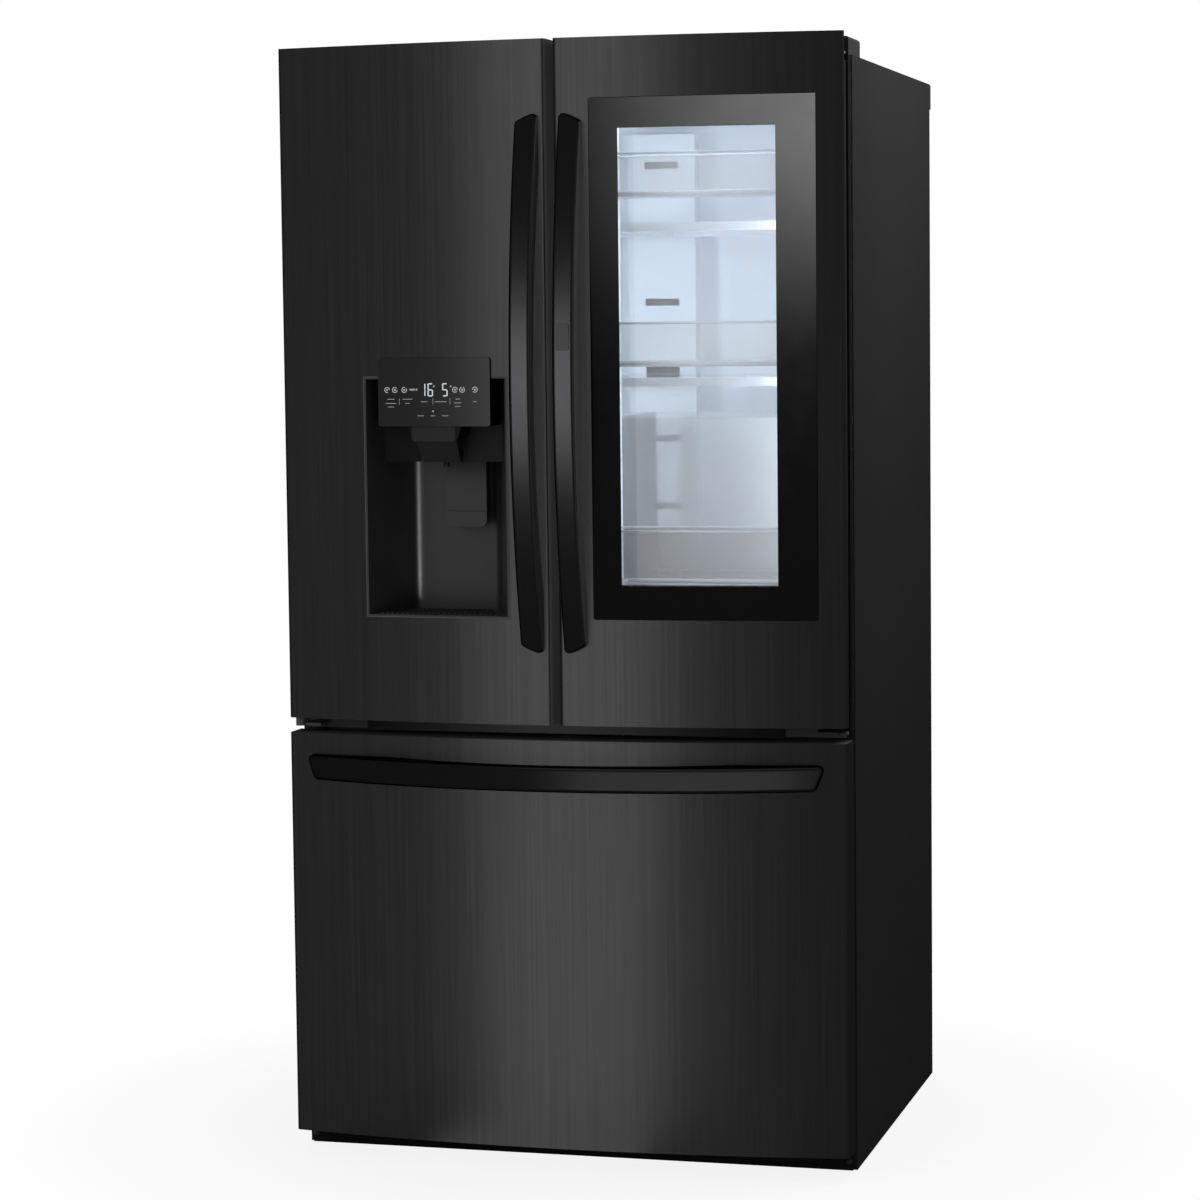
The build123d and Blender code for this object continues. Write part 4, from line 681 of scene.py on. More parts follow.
def closed_patch(top, bottom):
    """Closed solid between two grids of the same size: both grids and a wall round their border."""
    rows, columns = top.shape[:2]
    faces = grid_faces(rows, columns)
    index = np.arange(rows * columns).reshape(rows, columns)
    border = np.concatenate([index[0, :-1], index[:-1, -1], index[-1, :0:-1], index[:0:-1, 0]])
    following = np.roll(border, -1)
    shift = rows * columns
    wall = np.stack([border, following, following + shift, border + shift], axis=-1)
    points = np.concatenate([top.reshape(-1, 3), bottom.reshape(-1, 3)])
    return points, np.concatenate([faces, faces[:, ::-1] + shift, wall])


def closed_ring(top, bottom):
    """Closed solid between two grids that run round in their second direction."""
    rows, columns = top.shape[:2]
    points = np.concatenate([top, bottom[::-1]])
    return points.reshape(-1, 3), grid_faces(2 * rows, columns, True, True)


def closed_loop(points):
    """Closed solid of a section carried along a closed path: both directions of its grid run round."""
    rows, columns = points.shape[:2]
    return points.reshape(-1, 3), grid_faces(rows, columns, True, True)


def mitred(low, high, side, offset):
    """Places along one direction of a rectangle, at its corners, of a section's offsets from its outline."""
    return (low + high) / 2 + CORNERS[:, side, None] * ((high - low) / 2 + offset)


def joined(shapes):
    """One set of points and faces from several."""
    points, faces = zip(*shapes)
    starts = np.cumsum([0] + [len(part) for part in points])
    return np.concatenate(points), np.concatenate([part + start for part, start in zip(faces, starts)])


def make_piece(name, shape, material, body, smooth=True):
    """Mesh object of a shape that rides on a body, with the given material."""
    points, faces = shape
    mesh = bpy.data.meshes.new(name)
    mesh.from_pydata(points.tolist(), [], faces.tolist())
    solid = bmesh.new()
    solid.from_mesh(mesh)
    bmesh.ops.remove_doubles(solid, verts=solid.verts, dist=MERGE_DISTANCE)
    bmesh.ops.recalc_face_normals(solid, faces=solid.faces)
    solid.to_mesh(mesh)
    solid.free()
    mesh.polygons.foreach_set("use_smooth", np.full(len(mesh.polygons), smooth))
    if smooth:
        mesh.set_sharp_from_angle(angle=SHARP_ANGLE)
    mesh.materials.append(material)
    piece = bpy.data.objects.new(name, mesh)
    bpy.context.scene.collection.objects.link(piece)
    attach(piece, body)
    return piece


class BowedFront:
    """Bowed front of the doors: a round wall about an upright axis behind the refrigerator."""

    def __init__(self, sizes):
        low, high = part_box("drawer_skin")
        half = high.x
        self.radius = (half ** 2 + sizes.front_bow ** 2) / (2 * sizes.front_bow)
        self.axis_y = low.y + self.radius

    def y(self, x, proud=0.0):
        """Y of the wall at x, or of a wall that stands proud of it."""
        return self.axis_y - np.sqrt((self.radius + proud) ** 2 - np.asarray(x) ** 2)


# Seals


def bellows_profile(width, y0, y1):
    """Closed section of a seal in (offset, y): the half width swells and narrows along the depth."""
    waist = 0.64
    share = spread(0.0, 1.0, 25)
    half = width / 2 * (waist + (1.0 - waist) * np.abs(np.cos(2 * math.pi * share)) ** 0.8)
    depth = y0 + share * (y1 - y0)
    return np.concatenate([half, -half[::-1]]), np.concatenate([depth, depth[::-1]])


def seal_shape(node, width, clearance):
    """Bellows section carried round the node's rectangle with mitred corners."""
    low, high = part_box(node)
    offset, depth = bellows_profile(width, low.y, high.y - clearance)
    offset = offset - width / 2
    return closed_loop(points_at(mitred(low.x, high.x, 0, offset), depth, mitred(low.z, high.z, 1, offset)))


# Bins


def node_levels(node):
    """Heights at which a node has flat edges, from low to high."""
    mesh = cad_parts[node].data
    points = np.empty(3 * len(mesh.vertices))
    mesh.vertices.foreach_get("co", points)
    return np.unique(np.round(points[2::3], 4))


def rolled_rim(low, high, top, thickness):
    """Round bead carried round an edge of an open box, just inside its outline, with mitred corners."""
    radius = thickness / 2
    inset = 1.2
    turn = spread(0.0, 2 * math.pi, 13)[:-1]
    offset = radius * (np.cos(turn) - inset)
    level = top + radius * np.sin(turn)
    return closed_loop(points_at(mitred(low.x, high.x, 0, offset), mitred(low.y, high.y, 1, offset), level))


# Window


def border_print(front, sizes):
    """Printed border of the pane: a strip between two rectangles, laid on the bowed front."""
    low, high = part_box("window_glass")
    turn = spread(0.0, 2 * math.pi, 4 * BORDER_STEPS + 1)[:-1]
    bulge = np.maximum(np.abs(np.cos(turn)), np.abs(np.sin(turn)))
    square_x = np.cos(turn) / bulge
    square_z = np.sin(turn) / bulge
    share = spread(0.0, 1.0, 9)[:, None]
    left = low.x + share * sizes.print_left
    right = high.x - share * sizes.print_right
    bottom = low.z + share * sizes.print_bottom
    top = high.z - share * sizes.print_top
    x = (left + right) / 2 + square_x * (right - left) / 2
    z = (bottom + top) / 2 + square_z * (top - bottom) / 2
    lift = sizes.print_lift
    return closed_ring(points_at(x, front.y(x, lift), z), points_at(x, front.y(x, -lift), z))


# Display


def on_panel(across, down):
    """Place (x, z) on the control panel, from millimetres across and down from its top left corner."""
    low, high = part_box("dispenser_panel")
    return low.x + across / 1000, high.z - down / 1000


def mark_patch(front, sizes, x, z):
    """Patch of the panel's bowed face over a grid of x and z, a mark's thickness proud of it."""
    face = front.y(x, sizes.panel_proud)
    return closed_patch(points_at(x, face - sizes.mark_lift, z), points_at(x, face + sizes.mark_lift, z))


def flat_mark(front, sizes, x0, x1, z0, z1):
    """Thin bar on the panel between two corners."""
    x, z = np.meshgrid(spread(x0, x1, 3), spread(z0, z1, 2), indexing="ij")
    return mark_patch(front, sizes, x, z)


def ring_mark(front, sizes, centre, inner, outer, start=0.0, end=1.0):
    """Thin arc on the panel between two parts of a sign's radius and two turns, 0 pointing right."""
    reach = sizes.sign_radius * np.array([inner, outer])
    turn, radius = np.meshgrid(spread(start, end, 25), reach, indexing="ij")
    x = centre[0] + radius * np.cos(2 * math.pi * turn)
    z = centre[1] + radius * np.sin(2 * math.pi * turn)
    return mark_patch(front, sizes, x, z)


def figure_marks(front, sizes, text, left, middle):
    """Seven-segment figures from the left edge on, about a middle height."""
    stroke = sizes.figure_stroke
    gap = stroke * 0.25
    pitch = sizes.figure_width + 2.2 * stroke
    top = middle + sizes.figure_height / 2
    low = middle - sizes.figure_height / 2
    upper = (middle + gap, top - stroke / 2)
    lower = (low + stroke / 2, middle - gap)
    shapes = []
    for place, figure in enumerate(text):
        x0 = left + place * pitch
        x1 = x0 + sizes.figure_width
        across = (x0 + stroke / 2 + gap, x1 - stroke / 2 - gap)
        bars = {
            "a": (*across, top - stroke, top),
            "b": (x1 - stroke, x1, *upper),
            "c": (x1 - stroke, x1, *lower),
            "d": (*across, low, low + stroke),
            "e": (x0, x0 + stroke, *lower),
            "f": (x0, x0 + stroke, *upper),
            "g": (*across, middle - stroke / 2, middle + stroke / 2),
        }
        shapes += [flat_mark(front, sizes, *bars[segment]) for segment in SEGMENTS[figure]]
    return shapes


def label_marks(front, sizes, centre, wide):
    """Plain row of small bars about a centre, where a label stands."""
    bar = sizes.label_height
    pitch = 1.5 * bar
    count = int(wide / pitch)
    starts = centre[0] + pitch * (np.arange(count) - count / 2)
    return [flat_mark(front, sizes, x, x + bar, centre[1] - bar / 2, centre[1] + bar / 2) for x in starts]


def sign_marks(front, sizes):
    """Plain round signs, waves, dots, labels and dividers of the panel."""
    shapes = []
    for across, start, end in ROUND_SIGNS:
        centre = on_panel(across, SIGN_LINE)
        shapes.append(ring_mark(front, sizes, centre, 0.72, 1.0, start, end))
        shapes.append(ring_mark(front, sizes, centre, 0.08, 0.34))
    for place in WAVE_SIGNS:
        for inner, outer in ((0.4, 0.62), (0.75, 0.97)):
            shapes.append(ring_mark(front, sizes, on_panel(*place), inner, outer, 0.12, 0.38))
    pinhole = 0.0003 / sizes.sign_radius
    for place in DOTS:
        shapes.append(ring_mark(front, sizes, on_panel(*place), pinhole, 0.3))
    for across, down, wide in LABELS:
        shapes += label_marks(front, sizes, on_panel(across, down), wide / 1000)
    for across in DIVIDERS:
        left, bottom = on_panel(across - DIVIDER_HALF, DIVIDER_BOTTOM)
        right, top = on_panel(across + DIVIDER_HALF, DIVIDER_TOP)
        shapes.append(flat_mark(front, sizes, left, right, bottom, top))
    return shapes


# Niche


def niche_rim(front, sizes):
    """Half-round bead carried along the niche's edge on the bowed door, from one panel side to the other."""
    low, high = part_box("dispenser_niche")
    panel_low, panel_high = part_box("dispenser_panel")
    steps = 13
    sunk = 0.2
    x = np.concatenate([[panel_low.x, low.x], spread(low.x, high.x, steps), [high.x, panel_high.x]])
    z = np.concatenate([[high.z, high.z], np.full(steps, low.z), [high.z, high.z]])
    out_x = np.concatenate([[0.0, -1.0, -1.0], np.zeros(steps - 2), [1.0, 1.0, 0.0]])
    out_z = np.concatenate([[1.0, 1.0], np.full(steps, -1.0), [1.0, 1.0]])
    turn = spread(0.0, math.pi, 7)
    offset = sizes.rim_width / 2 * (1.0 - np.cos(turn))
    proud = sizes.rim_depth * np.sin(turn)
    grid_x = x[:, None] + out_x[:, None] * offset
    grid_z = z[:, None] + out_z[:, None] * offset
    face = front.y(grid_x)
    top = points_at(grid_x, face - proud, grid_z)
    return closed_patch(top, points_at(grid_x, face + sunk * sizes.rim_depth, grid_z))


def drip_grille(sizes):
    """Ribbed insert of the niche's floor: a cosine of x lifts its top, on a plan narrower at the back."""
    low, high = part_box("dispenser_niche")
    front_gap = 0.012
    back_gap = 0.030
    front_half = 0.096
    narrowing = 0.034
    base = 0.001
    floor = low.z + sizes.niche_wall
    centre = (low.x + high.x) / 2
    y = spread(low.y + front_gap, high.y - back_gap, 15)
    share = (y - y[0]) / (y[-1] - y[0])
    half = front_half - share * narrowing
    x = centre + spread(-1.0, 1.0, 121) * half[:, None]
    ribs = np.cos(2 * math.pi * (x - centre) / sizes.grille_pitch)
    rise = sizes.grille_height * (0.5 + 0.5 * ribs)
    return closed_patch(points_at(x, y[:, None], floor + base + rise), points_at(x, y[:, None], floor))


# Screws and sheet forms


def screw_head(place, normal, sizes):
    """Pan head with a six-lobed socket: rings about the normal, those of the socket waved."""
    normal = np.array(normal, float)
    first = np.array([normal[2], normal[0], normal[1]])
    second = np.cross(normal, first)
    turn = spread(0.0, 2 * math.pi, 25)[:-1]
    lobes = 0.16 * np.cos(6 * turn)
    # Part of the radius, part of the height, and whether the ring is waved
    rings = ((0.0, -0.1, 0), (1.0, -0.1, 0), (1.0, 0.45, 0), (0.82, 0.85, 0), (0.62, 1.0, 0),
             (0.40, 1.0, 1), (0.36, 0.35, 1), (0.0, 0.30, 0))
    grid = []
    for share, rise, waved in rings:
        reach = sizes.screw_radius * share * (1.0 + waved * lobes)
        ring = reach[:, None] * (np.cos(turn)[:, None] * first + np.sin(turn)[:, None] * second)
        grid.append(ring + normal * sizes.screw_height * rise)
    points = np.array(grid).reshape(-1, 3) + np.array(place)
    return points, grid_faces(len(rings), len(turn), False, True)


def pressed_bead(x0, x1, z0, z1, y, sizes):
    """Pressed bead of the back sheet: a plateau whose height falls off steeply to its rounded border."""
    sunk = 0.0005
    turn = spread(-math.pi / 2, math.pi / 2, 49)
    u, v = np.meshgrid(np.sin(turn), np.sin(turn), indexing="ij")
    rise = (1.0 - np.abs(u) ** 12) * (1.0 - np.abs(v) ** 48)
    x = (x0 + x1) / 2 + u * (x1 - x0) / 2
    z = (z0 + z1) / 2 + v * (z1 - z0) / 2
    return closed_patch(points_at(x, y + sizes.bead_height * rise, z), points_at(x, y - sunk, z))


def louvre_hood(x0, x1, z, y, sizes):
    """Hood over a louvre: a quarter turn from the sheet above the slot outward, its ends drawn in."""
    inner = 0.86
    across, turn = np.meshgrid(spread(-1.0, 1.0, 17), spread(0.0, math.pi / 2, 7), indexing="ij")
    drawn = np.sqrt(np.clip(1.0 - np.abs(across) ** 12, 0.0, 1.0))
    x = (x0 + x1) / 2 + across * (x1 - x0) / 2
    reach = sizes.hood_depth * np.sin(turn) * drawn
    fall = sizes.hood_depth * (1.0 - np.cos(turn))
    top = points_at(x, y + reach + sizes.sheet, z - fall)
    return closed_patch(top, points_at(x, y + reach * inner, z - fall - sizes.sheet))


def lamp_strip(side, sizes):
    """Lens on a side wall of the fridge liner: a half-round section run upright with rounded ends."""
    low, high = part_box("fridge_liner")
    liner_wall = 0.002
    sunk = 0.0008
    raised = 0.10
    half_share = 0.34
    bulge = 0.45
    wall = side * (high.x - liner_wall)
    along, turn = np.meshgrid(spread(-1.0, 1.0, 61), spread(0.0, math.pi, 13), indexing="ij")
    ends = np.sqrt(np.clip(1.0 - np.abs(along) ** 60, 0.0, 1.0))
    z = (low.z + high.z) / 2 + raised + along * (high.z - low.z) * half_share
    y = low.y + sizes.lamp_setback - sizes.lamp_width / 2 * np.cos(turn)
    inward = sizes.lamp_width / 2 * bulge * np.sin(turn) * ends
    return closed_patch(points_at(wall - side * inward, y, z), points_at(wall + side * sunk, y, z))


class FridgeOperator:
    """Common part of the operators."""

    bl_options = {"REGISTER", "UNDO"}


class FRIDGE_OT_front(FridgeOperator, bpy.types.Operator):
    """Dark brushed steel of the doors and drawer, and the bar handles"""

    bl_idname = "fridge.front"
    bl_label = "Front and handles"

    def execute(self, context):
        colours = context.scene.fridge_colours
        sizes = context.scene.fridge_sizes
        steel = brushed_metal("front_steel", colours.steel, tone=0.42, grazing=DARK_GRAZING)
        matt_returns(steel, BowedFront(sizes), sizes.fold, colours.returns)
        dress(steel, *FRONT_SKINS)
        upright = brushed_metal("upright_handle_steel", colours.handle, grazing=DARK_GRAZING)
        # The handles' sides get a lighter matt colour, a painted highlight
        matt_sides_painted_highlight(upright, UPRIGHT_BARS, sizes.bar_side, colours.bar_sides_painted_highlight)
        dress(upright, *UPRIGHT_BARS)
        level = brushed_metal("level_handle_steel", colours.handle, grazing=DARK_GRAZING)
        dress(level, "drawer_handle")
        button = brushed_metal("button_steel", shaded(colours.handle, 0.75), grazing=DARK_GRAZING)
        dress(button, "handle_button")
        return {"FINISHED"}


class FRIDGE_OT_case(FridgeOperator, bpy.types.Operator):
    """Painted case, its covers, caps and hinges, and the forms of the back"""

    bl_idname = "fridge.case"
    bl_label = "Case and back"

    def execute(self, context):
        colours = context.scene.fridge_colours
        sizes = context.scene.fridge_sizes
        paint = grained("case_paint", colours.paint, specular=0.0, distance=0.0004)
        dress(paint, "case_wrap", "cross_rails")
        sheet = grained("back_sheet_paint", shaded(colours.paint, 2.8))
        dress(sheet, "back_sheet")
        plastic = grained("cap_plastic", colours.plastic, specular=0.02)
        dress(plastic, "hinge_covers", "rear_spacer", "base_cover", "left_door_caps", "right_door_caps")
        dress(grained("flap_plastic", colours.plastic), "mullion_flap")
        dress(grained("bracket_paint", shaded(colours.machine, 4.0)), "door_hinges")
        dress(grained("foam", colours.foam, tone=0.15), "insulation")
        zinc = brushed_metal("zinc_plate", colours.zinc, tone=0.10)
        dress(zinc, "base_frame", "machine_cover", "leg_left", "leg_right")
        dress(grained("roller_plastic", colours.roller), "roller_left", "roller_right")
        low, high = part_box("back_sheet")
        make_piece("back_beads", joined(self.beads(low, high, sizes)), sheet, "cabinet")
        make_piece("louvre_hoods", joined(self.hoods(high.y, sizes)), zinc, "cabinet")
        return {"FINISHED"}

    def beads(self, low, high, sizes):
        """Pressed beads side by side on the back sheet."""
        edge = 0.075
        gap = 0.055
        count = 3
        wide = (high.x - low.x - 2 * edge - (count - 1) * gap) / count
        starts = [low.x + edge + index * (wide + gap) for index in range(count)]
        return [pressed_bead(x, x + wide, low.z + edge, high.z - 2 * edge, high.y, sizes) for x in starts]

    def hoods(self, face, sizes):
        """Two columns of hoods over the louvres of the machine cover."""
        rows = 8
        column = 0.135
        half = 0.088
        raised = 0.0045
        base_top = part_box("base_frame")[1].z
        step = (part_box("machine_cover")[1].z - base_top) / (rows + 1)
        heights = [base_top + step * (row + 1) + raised for row in range(rows)]
        middles = (-column, column)
        return [louvre_hood(x - half, x + half, z, face, sizes) for x in middles for z in heights]


class FRIDGE_OT_dispenser(FridgeOperator, bpy.types.Operator):
    """Niche, nozzle, paddle and control panel with its figures"""

    bl_idname = "fridge.dispenser"
    bl_label = "Dispenser"

    def execute(self, context):
        colours = context.scene.fridge_colours
        sizes = context.scene.fridge_sizes
        front = BowedFront(sizes)
        dress(grained("niche_plastic", colours.niche, specular=0.35), "dispenser_niche")
        dress(self.nozzle_plastic(colours.niche, sizes), "dispenser_nozzle")
        dress(grained("paddle_plastic", shaded(colours.trim, 1.9)), "dispenser_paddle")
        panel = brushed_metal("panel_metal", shaded(colours.steel, 0.85), grazing=DARK_GRAZING)
        dress(panel, "dispenser_panel")
        rim = grained("rim_plastic", shaded(colours.trim, 2.0), specular=0.3)
        make_piece("niche_rim", niche_rim(front, sizes), rim, "left_door")
        grille = grained("grille_plastic", colours.plastic)
        make_piece("drip_grille", drip_grille(sizes), grille, "left_door")
        self.display(context.scene.fridge_stage, colours, front, sizes)
        return {"FINISHED"}

    def nozzle_plastic(self, base, sizes):
        """Plastic of the nozzle block: pale over the width of the chute, and beside it a darker tone that is
        painted shade under the panel.
        """
        low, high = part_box("dispenser_nozzle")
        middle = Vector(((low.x + high.x) / 2, 0.0, 0.0))
        half = Vector((sizes.chute_width / 2, 0.0, 0.0))
        pale = shaded(base, 1.8)
        # Painted shade: the darker tone beside the chute stands for the shadow under the panel
        dark = shaded(base, 0.35)
        box = middle - half, middle + half
        return two_tone("nozzle_plastic", pale, dark, *box, roughness=0.38, specular=0.025)

    def display(self, stage, colours, front, sizes):
        """Lit figures and signs of the control panel."""
        figures = []
        for text, across in FIGURES:
            figures += figure_marks(front, sizes, text, *on_panel(across, SIGN_LINE))
        glow = lit("figure_glow", colours.marks, stage.figure_light, colours.trim)
        make_piece("display_figures", joined(figures), glow, "left_door", smooth=False)
        signs = sign_marks(front, sizes)
        glow = lit("sign_glow", colours.marks, stage.mark_light, colours.trim)
        make_piece("display_signs", joined(signs), glow, "left_door", smooth=False)


class FRIDGE_OT_window(FridgeOperator, bpy.types.Operator):
    """Panes of the window, the black frame behind them and the inner frame of the right door"""

    bl_idname = "fridge.window"
    bl_label = "Window and right door"

    def execute(self, context):
        colours = context.scene.fridge_colours
        sizes = context.scene.fridge_sizes
        dress(clear("window_glass", (0.985, 0.99, 0.995), specular=0.12), "window_glass")
        dress(grained("window_frame_black", colours.frame_black, specular=0.0), "window_frame")
        ink = grained("border_ink", colours.print, specular=0.05)
        make_piece("border_print", border_print(BowedFront(sizes), sizes), ink, "right_outer_door")
        dress(grained("core_plastic", colours.plastic), "right_door_core")
        dress(self.inner_plastic(colours, sizes), "inner_door_frame")
        return {"FINISHED"}

    def inner_plastic(self, colours, sizes):
        """Plastic of the inner frame: white round the bins and behind the seal, dark elsewhere."""
        beside = 0.006
        below = Vector((beside, 0.0, 0.170))
        above = Vector((beside, 0.0, 0.085))
        low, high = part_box("inner_door_bins")
        low.y = high.y
        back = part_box("inner_door_gasket")[0].y - sizes.tone_slack
        box = low - below, high + above
        tones = colours.liner, colours.plastic
        return two_tone("inner_frame_plastic", *tones, *box, roughness=0.38, back=back)


class FRIDGE_OT_interior(FridgeOperator, bpy.types.Operator):
    """Liners, shelves, bins, drawers and lamps"""

    bl_idname = "fridge.interior"
    bl_label = "Inside"

    def execute(self, context):
        colours = context.scene.fridge_colours
        sizes = context.scene.fridge_sizes
        liner = grained("liner_plastic", colours.liner, tone=0.02)
        dress(liner, "fridge_liner", "freezer_liner", "left_door_liner", "air_duct", "evaporator_cover")
        low = Vector((0.0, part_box("drawer_liner")[0].y, 0.0))
        high = Vector((0.0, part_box("drawer_gasket")[0].y - sizes.tone_slack, 0.0))
        dark = shaded(colours.plastic, 4.5)
        shell = two_tone("drawer_shell", dark, colours.liner, low, high, roughness=0.4)
        dress(shell, "drawer_liner")
        dress(grained("shelf_plastic", shaded(colours.liner, 0.97)), "shelf_frames")
        dress(clear("shelf_glass", (0.93, 0.97, 0.98)), "shelf_panes")
        clear_tint = (0.86, 0.89, 0.93)
        bins = hazy("bin_plastic", clear_tint, film=0.08, roughness=0.08)
        dress(bins, "inner_door_bins", "left_door_bins")
        rim_plastic = hazy("bin_rim_plastic", (0.80, 0.85, 0.92), film=0.55, roughness=0.15)
        beads = joined(self.bin_beads(sizes))
        make_piece("bin_rims", beads, rim_plastic, "right_inner_door")
        drawers = hazy("drawer_plastic", clear_tint, film=0.12, roughness=0.10)
        dress(drawers, "crisper_left", "crisper_right", "pantry_drawer", "freezer_tray")
        dress(grained("basket_plastic", colours.liner), "freezer_basket")
        lens = lit("lamp_lens", colours.light, context.scene.fridge_stage.inside_light, colours.liner)
        dress(lens, "lamp")
        strips = joined([lamp_strip(-1, sizes), lamp_strip(1, sizes)])
        make_piece("side_lamps", strips, lens, "cabinet")
        return {"FINISHED"}

    def bin_beads(self, sizes):
        """Beads along the rims and floors of the bins: each bin has a floor, its top and a rim as levels."""
        low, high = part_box("inner_door_bins")
        levels = node_levels("inner_door_bins")
        beads = [rolled_rim(low, high, top, sizes.bin_rim) for top in levels[2::3]]
        foot = sizes.bin_foot
        return beads + [rolled_rim(low, high, level + foot / 2, foot) for level in levels[0::3]]


class FRIDGE_OT_seals(FridgeOperator, bpy.types.Operator):
    """Bellows seals of the doors and the drawer"""

    bl_idname = "fridge.seals"
    bl_label = "Seals"

    def execute(self, context):
        sizes = context.scene.fridge_sizes
        rubber = grained("seal_rubber", context.scene.fridge_colours.seal)
        for node, body, width in SEALS:
            dress(rubber, node)
            shape = seal_shape(node, width, sizes.seal_clearance)
            piece = make_piece(node.replace("gasket", "seal"), shape, rubber, body)
            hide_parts(node)
        return {"FINISHED"}


class FRIDGE_OT_workings(FridgeOperator, bpy.types.Operator):
    """Rails, gear bar, cooling parts and screws"""

    bl_idname = "fridge.workings"
    bl_label = "Workings and screws"

    def execute(self, context):
        colours = context.scene.fridge_colours
        sizes = context.scene.fridge_sizes
        plate = brushed_metal("rail_steel", colours.zinc, tone=0.10)
        dress(plate, "fixed_rails", "drawer_rails", "gear_bar")
        fins = brushed_metal("fin_metal", colours.fins, tone=0.10)
        dress(fins, "condenser_unit", "evaporator")
        dress(grained("machine_paint", colours.machine), "compressor")
        dress(grained("fan_plastic", colours.plastic), "condenser_fan")
        dress(grained("valve_plastic", shaded(colours.liner, 0.8)), "water_valve")
        steel = brushed_metal("screw_steel", colours.machine, tone=0.2)
        heads = [screw_head(place, normal, sizes) for place, normal in self.screw_places(sizes)]
        make_piece("case_screws", joined(heads), steel, "cabinet")
        return {"FINISHED"}

    def screw_places(self, sizes):
        """Place and normal of each screw of the hinge covers, back sheet, machine cover and base cover."""
        inset = 0.012
        cover_inset = 0.048
        sheet_top = 0.06
        machine_foot = 0.03
        row_half = 0.3
        upward, backward, forward = (0, 0, 1), (0, 1, 0), (0, -1, 0)
        cover_low, cover_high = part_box("hinge_covers")
        sheet_low, sheet_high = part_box("back_sheet")
        machine_low, machine_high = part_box("machine_cover")
        toe_low, toe_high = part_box("base_cover")
        top = cover_high.z - 0.2 * sizes.screw_height
        row = machine_high.z - inset
        found = []
        cover_y = (cover_low.y + cover_high.y) / 2
        for side in (-1, 1):
            found.append(((side * (cover_high.x - cover_inset), cover_y, top), upward))
            for z in spread(sheet_low.z + inset, sheet_high.z - sheet_top, 5):
                found.append(((side * (sheet_high.x - inset), sheet_high.y, z), backward))
            for z in (machine_low.z + machine_foot, row):
                found.append(((side * (machine_high.x - inset), sheet_high.y, z), backward))
        found += [((x, sheet_high.y, row), backward) for x in spread(-row_half, row_half, 4)]
        middle = (toe_low.z + toe_high.z) / 2
        ends = (toe_low.x + inset / 2, toe_high.x - inset / 2)
        return found + [((x, toe_low.y, middle), forward) for x in ends]


